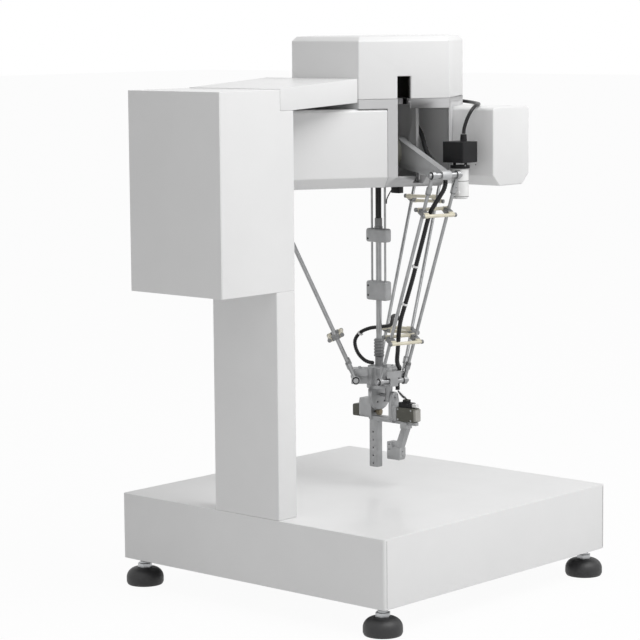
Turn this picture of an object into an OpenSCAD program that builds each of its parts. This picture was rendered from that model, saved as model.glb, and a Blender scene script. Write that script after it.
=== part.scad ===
// Benchtop delta robot. A levelled base carries a rear post with a control cabinet and a beam.
// The hexagonal head on the beam drives three arms. Their rod pairs carry a small platform
// with a telescopic turning shaft, a tilting wrist on a toothed sector and a sliding gripper.
// X runs left to right, Y from the cabinet to the front, Z up. The floor is at zero.

/* [Base] */
// Width of the base, left to right
base_w = 600; // [560:1:660]
// Depth of the base, back to front
base_d = 600; // [560:1:660]
// Height of the base cover
base_h = 115; // [90:1:140]
// Sheet thickness of the base cover
base_wall = 3; // [2:0.5:5]
// Thickness of the plate inside the base
base_plate_t = 8; // [5:1:12]
// Distance from the base's front edge back to the robot's axis
axis_setback = 260; // [230:1:290]

/* [Levelling feet] */
// Height of the base above the floor
foot_h = 47; // [42:1:60]
// Distance of each foot from the base's edges
foot_inset = 26; // [24:1:40]
// Diameter of the foot pads
pad_d = 65; // [50:1:80]
// Diameter of the foot stems
stem_d = 16; // [12:1:20]
// Length of stem inside the base
stem_grip = 40; // [30:1:60]

/* [Post and cabinet] */
// Width of the post
post_w = 146; // [120:1:170]
// Depth of the post
post_d = 44; // [36:1:60]
// Wall of the post
post_wall = 4; // [3:0.5:6]
// Width of the cabinet
cabinet_w = 207; // [190:1:240]
// Height of the cabinet
cabinet_h = 328; // [290:1:340]
// How far the cabinet stands out behind the base
cabinet_overhang = 128; // [100:1:150]
// Height of the cabinet's underside above the base
cabinet_rise = 378; // [360:1:400]
// Sheet thickness of the cabinet
cabinet_wall = 2; // [1.5:0.5:4]

/* [Beam] */
// Height of the beam at the head
beam_h = 40; // [30:1:50]
// Depth of the beam's underside below the top of the head's frame
beam_drop = 5; // [2:0.5:8]
// How far the beam laps over the cabinet
beam_lap = 31; // [20:1:60]
// How much the beam's underside climbs towards the head
beam_climb = 7; // [0:1:8]
// Wall of the beam
beam_wall = 4; // [3:0.5:8]

/* [Head] */
// Height of the top of the head's frame above the base
head_rise = 684; // [670:1:720]
// Width of the three faces that the arms come out of
arm_face_w = 162; // [150:1:180]
// Width of the three faces between them
plain_face_w = 151; // [140:1:170]
// Height of the upper cover
cover_h = 105; // [90:1:130]
// Wall of the upper cover
cover_wall = 3; // [2:0.5:5]
// Chamfer round the top of the cover
cover_chamfer = 8; // [4:1:14]
// Height of the head's frame
frame_h = 149; // [140:1:165]
// Wall of the head's frame
frame_wall = 5; // [4:0.5:8]
// Depth of the solid rim at the top of the frame
rim_h = 16; // [12:1:22]
// Width of each arm slot
slot_w = 24; // [20:1:30]
// Height of each arm slot in the upper cover
slot_h = 38; // [30:1:60]
// Width of the frame's pillar beside each slot
pillar_w = 18; // [12:1:24]

/* [Motor housings] */
// Distance from the robot's axis to the inner side of a housing
housing_inner_r = 34.5; // [32:0.5:38]
// Length of a housing
housing_l = 196; // [170:1:210]
// Chamfer along the lower edges of a housing
housing_chamfer = 18; // [10:1:24]
// Wall of a housing
housing_wall = 2.5; // [2:0.5:4]
// Diameter of an arm motor's gearbox
gearbox_d = 60; // [50:1:64]

/* [Arms] */
// Turn of the arms' planes from the middles of the head's faces
arm_turn = 13; // [8:0.5:15]
// Distance from the robot's axis to an arm's shaft
shoulder_r = 67; // [64:1:70]
// Depth of the arm shafts below the top of the frame
shoulder_drop = 93; // [88:1:96]
// Length of an upper arm between its axes
upper_l = 144.5; // [138:0.5:150]
// Angle of the upper arms below level at rest
arm_drop = 13; // [9:0.5:16]
// Thickness of an upper arm
arm_t = 14; // [10:1:18]
// Diameter of an upper arm's root
arm_root_d = 52; // [44:1:60]
// Diameter of an upper arm's tip
arm_tip_d = 16; // [14:1:22]
// Diameter of the drive shaft of an arm
drive_d = 14; // [10:1:18]

/* [Rod pairs] */
// Length of the rods between their pivots
rod_l = 403; // [390:1:420]
// Diameter of the rods
rod_d = 6; // [4:0.5:8]
// Distance between the rods of a pair
rod_spacing = 50; // [46:1:60]
// Diameter of the rod ends' eyes
eye_d = 15; // [13:0.5:18]
// Width of the rod ends' eyes
eye_w = 6; // [5:0.5:8]
// Diameter of the pivot pins in the upper eyes
pivot_d = 6; // [4:0.5:8]
// Length of a rod end below its eye
rod_end_l = 32; // [24:1:40]
// Distance of the upper spring bars from the upper pivots
top_bar_offset = 70; // [60:1:90]
// Distance of the lower spring bars from the lower pivots
low_bar_offset = 84; // [60:1:110]
// Diameter of the spring bars
bar_d = 6; // [5:0.5:8]
// Distance of the spring bars from the plane of the rods
bar_out = 12; // [10:0.5:14]

/* [Platform] */
// Distance from the robot's axis to the platform's pivots
platform_r = 42; // [38:1:46]
// Diameter of the platform's hub
hub_d = 40; // [36:1:44]
// Diameter of the cross axles on the arms and the platform
axle_d = 10; // [8:0.5:12]

/* [Turning shaft] */
// Diameter of the two guide rods
guide_rod_d = 4; // [3:0.5:6]
// Distance between the guide rods
guide_spacing = 30; // [28:1:34]
// Diameter of the sliding shaft
shaft_d = 10; // [8:0.5:11]
// Width of the two shaft blocks
block_w = 46; // [42:1:52]
// Depth of the two shaft blocks
block_d = 18; // [16:1:24]
// Height of the sliding block
slide_block_h = 24; // [18:1:30]
// Height of the guide block
guide_block_h = 34; // [26:1:40]
// Diameter of the ribbed coupling
coupling_d = 18; // [16:0.5:22]
// Length of the ribbed coupling
coupling_l = 32; // [28:1:40]
// Outer diameter of the cable tube
tube_d = 10.5; // [8:0.5:12]
// Outer diameter of the head's hollow turning hub
yoke_d = 36; // [32:1:40]

/* [Wrist] */
// Depth of the tilt pin below the platform's pivots
tilt_drop = 29; // [27:1:36]
// Number of teeth on a full circle of the sector
sector_teeth = 65; // [60:5:75]
// Number of teeth on the tilt pinion
pinion_teeth = 13; // [12:1:15]
// Tooth module of the sector and pinion
tooth_module = 0.8; // [0.75:0.05:0.85]
// Thickness of the sector
sector_t = 8; // [6:0.5:10]
// Diameter of the tilt pin
tilt_pin_d = 6; // [5:0.5:8]

/* [Gripper] */
// Width of the fixed finger
finger_w = 18; // [14:1:20]
// Depth of the fixed finger
finger_d = 13; // [10:1:16]
// Length of the fixed finger
finger_l = 83; // [70:1:95]
// Distance between the holes in the fixed finger
hole_pitch = 14; // [10:0.5:15]
// Diameter of the holes in the fixed finger
hole_d = 3.2; // [2.5:0.1:4.5]
// Opening between the two fingers
finger_gap = 23; // [16:1:24]
// Width of the jaw block
jaw_w = 29; // [26:1:32]
// Height of the jaw block
jaw_h = 31; // [26:1:36]

/* [Vision camera] */
// Distance of the camera's axis right of the robot's axis
camera_x = 186; // [182:1:190]
// Width of the camera body
camera_w = 44; // [36:1:50]
// Depth of the camera body
camera_d = 40; // [32:1:46]
// Height of the camera body
camera_h = 35; // [28:1:42]
// Diameter of the lens barrel
lens_d = 29; // [24:1:34]
// Length of the lens barrel
lens_l = 49; // [40:1:56]

/* [Fits] */
// Radial clearance of turning and sliding fits
run_gap = 0.05; // [0.02:0.01:0.1]
// Gap between pieces that sit against each other
seat_gap = 0.3; // [0.2:0.05:0.5]

/* [Hidden] */

$fn = 48;
eps = 0.01;

// Places of the main pieces
face_angles = [-30, 90, 210];
arm_angles = [for (a = face_angles) a + arm_turn];
base_top = foot_h + base_h;
cabinet_bottom_z = base_top + cabinet_rise;
cabinet_top_z = cabinet_bottom_z + cabinet_h;
cabinet_left_x = post_w / 2 - cabinet_w;

// Head
head_top_z = base_top + head_rise;
head_bottom_z = head_top_z - frame_h;
rim_z = head_top_z - rim_h;
arm_face_r = (arm_face_w + 2 * plain_face_w) * sqrt(3) / 6;
plain_face_r = (2 * arm_face_w + plain_face_w) * sqrt(3) / 6;
top_plate_t = 10;
slot_depth = 40;
floor_t = 6;
housing_end_t = -(slot_w / 2 + pillar_w);
bearing_plate_t = 6;
bearing_inner_t = arm_t / 2 + 5;
shoulder_z = head_top_z - shoulder_drop;
arm_boss_half = arm_t / 2 + 2;
gearbox_face_t = -arm_boss_half - 5;
drive_socket = 15;

// Linkage at rest
tip_r = shoulder_r + upper_l * cos(arm_drop);
tip_z = shoulder_z - upper_l * sin(arm_drop);
rod_lean = asin((tip_r - platform_r) / rod_l);
platform_z = tip_z - rod_l * cos(rod_lean);
axle_half = rod_spacing / 2 - eye_w / 2 - seat_gap;
eye_outer = rod_spacing / 2 + eye_w / 2;
screw_head_d = 9;
head_t = 3;

// Depth: the cabinet's back and the base's front lie the same distance from the origin
robot_y = (cabinet_overhang + base_d) / 2 - axis_setback;
front_y = robot_y + axis_setback;
back_y = front_y - base_d;
post_front_y = back_y + post_d;
cabinet_back_y = back_y - cabinet_overhang;

// Beam
beam_bottom_z = head_top_z - beam_drop;
beam_top_z = beam_bottom_z + beam_h;
beam_low_z = beam_bottom_z - beam_climb;
beam_back_y = post_front_y - beam_lap;
beam_end_y = robot_y - plain_face_r - seat_gap;

// Turning shaft, from the platform up
hub_bottom_z = platform_z - 10;
hub_top_z = platform_z + 22;
spigot_d = 14;
coupling_bottom_z = platform_z + 38;
coupling_top_z = coupling_bottom_z + coupling_l;
slide_block_z = platform_z + 240;
slide_block_top_z = slide_block_z + slide_block_h;
shaft_socket = 14;
guide_block_z = platform_z + 138;
yoke_flange_t = 7;
yoke_bottom_z = head_bottom_z - seat_gap - yoke_flange_t;
yoke_top_z = head_top_z + 56;
tube_bore_d = tube_d + 2.5;
cone_h = 17;
tube_top_z = yoke_bottom_z + 68;

// Wrist
flange_t = 6;
flange_top_z = hub_bottom_z - seat_gap;
tilt_z = platform_z - tilt_drop;
pitch_r = sector_teeth * tooth_module / 2;
pinion_r = pinion_teeth * tooth_module / 2;
motor_z = tilt_z - pitch_r - pinion_r;
cheek_t = 6;
left_cheek_x = -15;
right_cheek_x = 31;
bearing_post_x = 22;
cross_bar_t = 8;
cross_bar_top_z = motor_z - pinion_r - 1.5;
cross_bar_z = cross_bar_top_z - cross_bar_t;
bracket_t = 16;
grip_motor_l = 37;
grip_motor_h = 24;
grip_motor_x = right_cheek_x + bracket_t;
grip_motor_z = motor_z - 10;
rail_w = 8;
rail_h = 6;
rail_z = grip_motor_z - rail_h;
finger_x = -17;
jaw_x = finger_x + finger_w + finger_gap;
jaw_z = platform_z - 140;
slider_x = 54;
slider_l = 14;

// Camera, measured from the robot's axis
camera_y = -5;
ring_h = 5;
lens_spigot_d = 16;
camera_z = base_top + 577;
lens_top_z = camera_z - 10;

// Cord routes: round numbers, measured from the robot's axis
camera_cable_d = 6;
sensor_cable_d = 2;
hose_d = 8;
branch_d = 7;
lead_d = 5;
camera_cable_route = [
    [191, -2, 786.8], [192, -1, 797], [195, 3, 812], [198, 10, 825], [196, 24, 833],
    [186, 44, 834.5], [167, 70, 834], [144, 97, 833.5], [120, 120, 833.5], [98, 136, 834],
    [80, 142, 835], [68, 141.5, 836], [62, 138.5, 836], [61, 135.1, 836]
];
sensor_cable_route = [
    [33.2, 0, 688], [30, 0, 685], [26, 0, 680], [22, 0, 674], [19, 0, 668], [18.3, 0, 661]
];
branch_hose_route = [
    [80.6, -39.3, 466.7], [66, -31, 471], [49, -20, 468], [33, -3, 459], [17, 10, 447],
    [-8, 13, 442], [-30, 10, 438], [-47, 5, 430], [-57, 2, 417], [-56, 1, 404],
    [-48, 0, 392], [-36, 0, 383], [-25, 0, 379.5], [-14, 0, 379]
];
wrist_lead_route = [
    [32.5, 12.5, 332], [36, 14, 327.5], [42, 15, 322], [50, 13, 319.5], [57, 9, 318.5]
];
// The next two routes are measured in an arm's own frame: outwards, sideways, up
arm_hose_route = [
    [84, 22.3, 806], [92, 22.3, 795], [102, 22.3, 785], [113, 19, 774], [125, 15, 763],
    [137, 12, 753], [149, 11.3, 745], [160, 11.3, 738]
];
rod_hose_route = [
    [161, 11.3, 737.3], [172, 12.5, 729], [183, 13.5, 719], [191, 12, 708], [195, 6, 696],
    [193, -1, 684], [187, -7, 671], [178, -11, 655], [170, -12, 637], [162, -12, 619],
    [147, -12, 586], [137, -12, 564], [126, -12, 540], [114, -13, 513], [104, -14, 491],
    [94, -15, 468], [85, -13, 448], [76, -9, 429], [68, -5, 410], [58, 0, 393],
    [50, 6, 384], [42, 13, 378.5], [36, 19.4, 374], [31, 21, 366], [28, 21, 355],
    [27, 21, 345], [27, 21, 334]
];

// ---------- helpers ----------

// A point of the head's outline: one end of an arm face, moved in by inset
function face_corner(angle, side, inset) =
    let (d = arm_face_r - inset,
         e = plain_face_r - inset,
         t = side * (e - d / 2) / sin(60))
    [d * cos(angle) - t * sin(angle), d * sin(angle) + t * cos(angle)];

function head_outline(inset) =
    [for (angle = face_angles) for (side = [-1, 1]) face_corner(angle, side, inset)];

module at_robot() {
    translate([0, robot_y, 0]) children();
}

// The frame of an arm's face of the head: X outwards, Y along the face, Z up
module at_face(k) {
    at_robot() rotate([0, 0, face_angles[k]]) children();
}

// An arm's own frame: X outwards, Y sideways, Z up
module at_arm(k) {
    at_robot() rotate([0, 0, arm_angles[k]]) children();
}

// A rod pair's frame: origin at its upper pivot, rods down -Z
module at_rods(k) {
    at_arm(k) translate([tip_r, 0, tip_z]) rotate([0, rod_lean, 0]) children();
}

// Extrudes an outline drawn in X and Z along Y, from y0 to y1
module along_y(y0, y1) {
    translate([0, y1, 0]) rotate([90, 0, 0]) linear_extrude(y1 - y0) children();
}

// Extrudes an outline drawn in Y and Z along X, from x0 to x1
module along_x(x0, x1) {
    translate([x0, 0, 0]) rotate([90, 0, 90]) linear_extrude(x1 - x0) children();
}

// A cylinder along X or Y, centred on the other two axes
module rod_x(x0, x1, d) {
    translate([x0, 0, 0]) rotate([0, 90, 0]) cylinder(h = x1 - x0, d = d);
}

module rod_y(y0, y1, d) {
    translate([0, y0, 0]) rotate([-90, 0, 0]) cylinder(h = y1 - y0, d = d);
}

// A box given by its lowest and highest corners
module block(low, high) {
    translate(low) cube(high - low);
}

module rounded_rect(w, d, r) {
    square([w - 2 * r, d], center = true);
    square([w, d - 2 * r], center = true);
    for (x = [-1, 1]) {
        for (y = [-1, 1]) {
            translate([x * (w / 2 - r), y * (d / 2 - r)]) circle(r);
        }
    }
}

// Half-spaces that cut a 45 degree chamfer on the head's outline at height z
module outline_chamfer(leg, z, up) {
    far = 400;
    for (k = [0:2]) {
        for (face = [[face_angles[k], arm_face_r], [face_angles[k] + 60, plain_face_r]]) {
            rotate([0, 0, face[0]])
                translate([face[1], 0, z])
                rotate([0, up ? -45 : 45, 0])
                translate([-leg / sqrt(2), -far / 2, -far / 2])
                cube([far, far, far]);
        }
    }
}

// Teeth of a spur gear as points round its axis; the first tooth points along angle 0
function gear_points(teeth, first, last, tip_r, root_r, tip_half, root_half) =
    [for (i = [first:last])
        for (p = [[root_r, -root_half], [tip_r, -tip_half], [tip_r, tip_half], [root_r, root_half]])
            let (a = i * 360 / teeth + p[1])
            [p[0] * cos(a), p[0] * sin(a)]];

// A tube along a route: one closed surface with a ring of sides at every point
function unit(v) = v / norm(v);

function route_tangent(route, i) =
    unit(route[min(i + 1, len(route) - 1)] - route[max(i - 1, 0)]);

function carried_side(route, i) =
    let (before = i == 0 ? unit(cross(route_tangent(route, 0), [0.31, 0.22, 0.93]))
                         : carried_side(route, i - 1),
         tangent = route_tangent(route, i))
    unit(before - (before * tangent) * tangent);

module route_tube(route, d, sides) {
    n = len(route);
    rings = [for (i = [0:n - 1])
        let (u = carried_side(route, i), v = cross(route_tangent(route, i), u))
        for (j = [0:sides - 1])
            route[i] + d / 2 * (cos(j * 360 / sides) * u + sin(j * 360 / sides) * v)];
    walls = [for (i = [0:n - 2])
        for (j = [0:sides - 1])
            [i * sides + j, (i + 1) * sides + j,
             (i + 1) * sides + (j + 1) % sides, i * sides + (j + 1) % sides]];
    first = [for (j = [0:sides - 1]) j];
    last = [for (j = [0:sides - 1]) (n - 1) * sides + sides - 1 - j];
    polyhedron(points = rings, faces = concat([first], walls, [last]), convexity = 6);
}

// ---------- base ----------

module base_outline(inset) {
    translate([0, (front_y + back_y) / 2])
        rounded_rect(base_w - 2 * inset, base_d - 2 * inset, 5 - inset / 2);
}

// The four places of the feet
module at_foot(k) {
    x = (k % 2 == 0 ? -1 : 1) * (base_w / 2 - foot_inset);
    y = k < 2 ? back_y + foot_inset : front_y - foot_inset;
    translate([x, y, 0]) children();
}

// Folded sheet cover, open underneath
module base_cover() {
    color("#f0f0f0") difference() {
        translate([0, 0, foot_h]) linear_extrude(base_h) base_outline(0);
        translate([0, 0, foot_h - 1]) linear_extrude(base_h + 1 - base_wall) base_outline(base_wall);
    }
}

// Bottom plate with a threaded boss for each foot and ribs up to the cover
module base_frame() {
    plate_top = foot_h + base_plate_t;
    rib_t = 8;
    rib_top = base_top - base_wall - seat_gap;
    boss_d = 2 * (foot_inset - base_wall - seat_gap) - 4;
    color("#8c8f92") difference() {
        union() {
            translate([0, 0, foot_h]) linear_extrude(base_plate_t) base_outline(base_wall + seat_gap);
            for (k = [0:3]) {
                at_foot(k) translate([0, 0, foot_h]) cylinder(h = stem_grip + 12, d = boss_d);
            }
            for (x = [-1, 1]) {
                translate([x * post_w / 2, 0, 0])
                    block([-rib_t / 2, back_y + 20, plate_top - eps],
                          [rib_t / 2, front_y - 20, rib_top]);
            }
            block([-base_w / 2 + 40, robot_y - rib_t / 2, plate_top - eps],
                  [base_w / 2 - 40, robot_y + rib_t / 2, rib_top]);
        }
        for (k = [0:3]) {
            at_foot(k) translate([0, 0, foot_h - 1])
                cylinder(h = stem_grip + 14, d = stem_d + 2 * run_gap);
        }
    }
}

// Bell-shaped rubber pad
module foot_pad(k) {
    bell_h = 20;
    color("#2b2b2b") at_foot(k) rotate_extrude() polygon([
        [0, 0], [pad_d / 2 - 2, 0], [pad_d / 2, 2], [pad_d / 2, 6], [pad_d * 0.42, 9],
        [pad_d * 0.3, 14], [stem_d / 2 + 4, bell_h], [0, bell_h]
    ]);
}

// Threaded stem with its jam nut, seated on the pad
module foot_stem(k) {
    nut_z = 27;
    nut_h = 10;
    nut_d = stem_d * 1.6;
    color("#b9bcc0") at_foot(k) {
        translate([0, 0, 20]) cylinder(h = foot_h + stem_grip - 20, d = stem_d);
        translate([0, 0, 20]) cylinder(h = 3, d = stem_d + 6);
        translate([0, 0, nut_z]) cylinder(h = nut_h, d = nut_d, $fn = 6);
    }
}

// ---------- post, cabinet and beam ----------

module post() {
    color("#e9e9e9") difference() {
        block([-post_w / 2, back_y, base_top], [post_w / 2, post_front_y, cabinet_bottom_z]);
        block([-post_w / 2 + post_wall, back_y + post_wall, base_top - 1],
              [post_w / 2 - post_wall, post_front_y - post_wall, cabinet_bottom_z + 1]);
    }
}

// Outline of the cabinet's side, moved in by inset; its top front corner is cut for the beam
module cabinet_side(inset) {
    polygon([
        [cabinet_back_y + cabinet_wall + inset, cabinet_bottom_z + inset],
        [post_front_y - inset, cabinet_bottom_z + inset],
        [post_front_y - inset, beam_low_z - seat_gap - inset],
        [beam_back_y - seat_gap - inset, beam_low_z - seat_gap - inset],
        [beam_back_y - seat_gap - inset, cabinet_top_z - inset],
        [cabinet_back_y + cabinet_wall + inset, cabinet_top_z - inset]
    ]);
}

// Sheet box, open at the back, with a cable way down into the post
module cabinet() {
    color("#ececec") difference() {
        along_x(cabinet_left_x, post_w / 2) cabinet_side(0);
        along_x(cabinet_left_x + cabinet_wall, post_w / 2 - cabinet_wall) cabinet_side(cabinet_wall);
        block([cabinet_left_x + cabinet_wall, cabinet_back_y, cabinet_bottom_z + cabinet_wall],
              [post_w / 2 - cabinet_wall, cabinet_back_y + 3 * cabinet_wall,
               cabinet_top_z - cabinet_wall]);
        block([-post_w / 2 + 15, back_y + 10, cabinet_bottom_z - 1],
              [post_w / 2 - 15, post_front_y - 10, cabinet_bottom_z + cabinet_wall + 1]);
    }
}

// Plain rear panel
module cabinet_cover() {
    color("#ececec")
        block([cabinet_left_x, cabinet_back_y, cabinet_bottom_z],
              [post_w / 2, cabinet_back_y + cabinet_wall - 0.1, cabinet_top_z]);
}

// Three servo drives and a power supply, fixed to the cabinet's left and front walls
module control_units() {
    unit_z = cabinet_bottom_z + 60;
    front = post_front_y - cabinet_wall - seat_gap;
    color("#4a4d50") {
        for (i = [0:2]) {
            block([cabinet_left_x + 70 + i * 42, front - 85, unit_z],
                  [cabinet_left_x + 100 + i * 42, front, unit_z + 150]);
        }
        block([cabinet_left_x + cabinet_wall + seat_gap, front - 100, unit_z],
              [cabinet_left_x + cabinet_wall + 45, front, unit_z + 180]);
    }
}

// Welded box beam: its top and underside climb a little towards the head
module beam() {
    module side(inset) {
        polygon([
            [beam_back_y + inset, beam_low_z + inset],
            [post_front_y, beam_low_z + inset],
            [beam_end_y - inset, beam_bottom_z + inset],
            [beam_end_y - inset, beam_top_z - inset],
            [beam_back_y + inset, cabinet_top_z + 1 - inset]
        ]);
    }
    color("#ececec") difference() {
        along_x(cabinet_left_x, post_w / 2) side(0);
        along_x(cabinet_left_x + beam_wall, post_w / 2 - beam_wall) side(beam_wall);
    }
}

// ---------- head ----------

// Cross-section of a motor housing, moved in by inset
module housing_section(inset) {
    r0 = housing_inner_r + inset;
    r1 = arm_face_r - inset;
    z0 = head_bottom_z + inset;
    z1 = rim_z - inset;
    c = housing_chamfer - inset * 0.6;
    e = 4;
    polygon([[r0 + c, z0], [r1 - c, z0], [r1, z0 + c], [r1, z1 - e],
             [r1 - e, z1], [r0 + e, z1], [r0, z1 - e], [r0, z0 + c]]);
}

// Painted frame: rim, floor, pillars, corner posts and a bearing plate beside each arm
module head_frame() {
    cavity_z = head_bottom_z + floor_t;
    skirt = housing_chamfer;
    wide_z = head_bottom_z + skirt + 3;
    arm_groove_w = arm_t + 5;
    color("#c8c8c8") at_robot() difference() {
        union() {
            difference() {
                translate([0, 0, head_bottom_z]) linear_extrude(frame_h)
                    polygon(head_outline(0));
                outline_chamfer(skirt, head_bottom_z, false);
                translate([0, 0, cavity_z]) linear_extrude(head_top_z - top_plate_t - cavity_z)
                    polygon(head_outline(skirt + frame_wall));
                translate([0, 0, wide_z]) linear_extrude(head_top_z - top_plate_t - wide_z)
                    polygon(head_outline(frame_wall));
            }
            translate([0, 0, head_bottom_z]) cylinder(h = 22, d = yoke_d + 18);
            for (angle = arm_angles) {
                rotate([0, 0, angle])
                    block([shoulder_r - 30, bearing_inner_t, cavity_z - eps],
                          [shoulder_r + 34, bearing_inner_t + bearing_plate_t,
                           head_top_z - top_plate_t + eps]);
            }
        }
        translate([0, 0, head_bottom_z - 1])
            cylinder(h = frame_h + 2, d = yoke_d + 2 * run_gap);
        for (angle = face_angles) {
            rotate([0, 0, angle]) {
                // Place of the motor housing
                block([housing_inner_r - seat_gap, housing_end_t - housing_l - 20,
                       head_bottom_z - 10],
                      [arm_face_r + 10, housing_end_t + seat_gap, rim_z + seat_gap]);
                // Window beside the pillar and the slot above it
                block([arm_face_r - frame_wall - 25, -slot_w / 2, head_bottom_z + skirt],
                      [arm_face_r + 5, arm_face_w / 2 - 1, rim_z]);
                block([arm_face_r - slot_depth, -slot_w / 2, rim_z - 1],
                      [arm_face_r + 5, slot_w / 2, head_top_z + 1]);
            }
        }
        // Bearing bores of the arms' shafts and the grooves that the arms swing down into
        for (angle = arm_angles) {
            rotate([0, 0, angle]) {
                translate([shoulder_r, 0, shoulder_z]) rod_y(0, 40, drive_d + 2 * run_gap);
                block([shoulder_r + 20, -arm_groove_w / 2, cavity_z],
                      [arm_face_r + 15, arm_groove_w / 2, head_bottom_z + skirt + 1]);
            }
        }
    }
}

// Upper cover with three slots
module head_cover() {
    cover_top = head_top_z + cover_h;
    color("#efefef") at_robot() difference() {
        translate([0, 0, head_top_z + eps]) linear_extrude(cover_h - eps) polygon(head_outline(0));
        outline_chamfer(cover_chamfer, cover_top, true);
        translate([0, 0, head_top_z - 1]) linear_extrude(cover_h + 1 - cover_wall)
            polygon(head_outline(cover_wall + cover_chamfer / 2));
        for (angle = face_angles) {
            rotate([0, 0, angle])
                block([arm_face_r - slot_depth, -slot_w / 2, head_top_z - 1],
                      [arm_face_r + 5, slot_w / 2, head_top_z + slot_h]);
        }
    }
}

// Hollow motor housing, open where the gearbox comes out
module motor_housing(k) {
    color("#f0f0f0") at_face(k) difference() {
        along_y(housing_end_t - housing_l, housing_end_t) housing_section(0);
        along_y(housing_end_t - housing_l + housing_wall, housing_end_t + 1)
            housing_section(housing_wall);
    }
}

// Three geared arm motors on flanges in their housings and the hollow motor of the shaft
module drive_motors() {
    flange_l = 8;
    flange_end = housing_end_t - 2;
    gearbox_l = 70;
    gearbox_end = gearbox_face_t - gearbox_l;
    motor_half = 24;
    motor_l = 52;
    color("#3c3e41") {
        for (k = [0:2]) {
            difference() {
                union() {
                    at_face(k) along_y(flange_end - flange_l, flange_end)
                        housing_section(housing_wall + seat_gap);
                    at_arm(k) translate([shoulder_r, 0, shoulder_z]) {
                        rod_y(gearbox_end, gearbox_face_t, gearbox_d);
                        block([-motor_half, gearbox_end - motor_l, -motor_half],
                              [motor_half, gearbox_end + eps, motor_half]);
                    }
                }
                at_arm(k) translate([shoulder_r, 0, shoulder_z])
                    rod_y(gearbox_face_t - drive_socket, gearbox_face_t + 1, drive_d + 2 * run_gap);
            }
        }
        at_robot() difference() {
            translate([0, 0, head_top_z + eps]) cylinder(h = 50, d = 110);
            translate([0, 0, head_top_z - 1]) cylinder(h = 52, d = yoke_d + 2 * run_gap);
        }
    }
}

// ---------- arms and rods ----------

// Outline of an upper arm from its shaft to its tip, along X
module arm_outline() {
    root_half = arm_root_d * 0.47;
    tip_half = arm_tip_d * 0.44;
    circle(arm_root_d / 2, $fn = 96);
    translate([upper_l, 0]) circle(arm_tip_d / 2);
    polygon([[0, root_half], [upper_l, tip_half], [upper_l, -tip_half], [0, -root_half]]);
}

module upper_arm(k) {
    tip_half = 9;
    shaft_end_t = gearbox_face_t - drive_socket + 1;
    plate_out_t = bearing_inner_t + bearing_plate_t;
    color("#cfcfcf") at_arm(k)
        translate([shoulder_r, 0, shoulder_z]) rotate([0, arm_drop, 0]) difference() {
            union() {
                along_y(-arm_t / 2, arm_t / 2) arm_outline();
                rod_y(-arm_boss_half, arm_boss_half, 36);
                rod_y(shaft_end_t, plate_out_t, drive_d);
                translate([upper_l, 0, 0]) rod_y(-tip_half, tip_half, arm_tip_d);
            }
            translate([upper_l, 0, 0]) rod_y(-tip_half - 1, tip_half + 1, axle_d + 2 * run_gap);
        }
}

// Cross axle with the pins and screw heads that hold the rods' upper eyes
module arm_axle(k) {
    color("#b5b7b9") at_arm(k) translate([tip_r, 0, tip_z]) {
        rod_y(-axle_half, axle_half, axle_d);
        rod_y(-eye_outer - seat_gap - eps, eye_outer + seat_gap + eps, pivot_d);
        for (side = [-1, 1]) {
            mirror([0, side > 0 ? 0 : 1, 0])
                translate([0, eye_outer + seat_gap, 0]) rod_y(0, head_t, screw_head_d);
        }
    }
}

// Two rods with an eye, a tapered neck and a collar at each end
module rod_pair(k) {
    collar_l = 9;
    module rod_end(bored) {
        difference() {
            union() {
                rod_y(-eye_w / 2, eye_w / 2, eye_d);
                translate([0, 0, -rod_end_l]) cylinder(h = rod_end_l - 4, d1 = rod_d + 2, d2 = rod_d + 0.5);
                translate([0, 0, -rod_end_l]) cylinder(h = collar_l, d = rod_d + 4);
            }
            if (bored) rod_y(-eye_w, eye_w, pivot_d + 2 * run_gap);
        }
    }
    color("#a2a4a6") at_rods(k) {
        for (side = [-1, 1]) {
            translate([0, side * rod_spacing / 2, 0]) {
                rod_end(true);
                translate([0, 0, -rod_l + rod_end_l]) cylinder(h = rod_l - 2 * rod_end_l, d = rod_d);
                translate([0, 0, -rod_l]) mirror([0, 0, 1]) rod_end(false);
                translate([0, 0, -rod_l]) mirror([0, side > 0 ? 0 : 1, 0])
                    rod_y(0, eye_w / 2 + head_t, screw_head_d);
            }
        }
    }
}

// Spring bars on both sides of the rods that pull them together, with a clamp on each rod
module spring_bars(k) {
    clamp_h = 8;
    clamp_w = rod_d + 3;
    bar_half = rod_spacing / 2 + 8;
    color("#e2dac0") at_rods(k) {
        for (z = [-top_bar_offset, -rod_l + low_bar_offset]) {
            translate([0, 0, z]) difference() {
                union() {
                    for (x = [-bar_out, bar_out]) {
                        translate([x, 0, 0]) rod_y(-bar_half, bar_half, bar_d);
                    }
                    for (y = [-rod_spacing / 2, rod_spacing / 2]) {
                        block([-bar_out, y - clamp_w / 2, -clamp_h / 2],
                              [bar_out, y + clamp_w / 2, clamp_h / 2]);
                    }
                }
                for (y = [-rod_spacing / 2, rod_spacing / 2]) {
                    translate([0, y, -clamp_h]) cylinder(h = 2 * clamp_h, d = rod_d + 2 * run_gap);
                }
            }
        }
    }
}

// ---------- platform ----------

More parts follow.
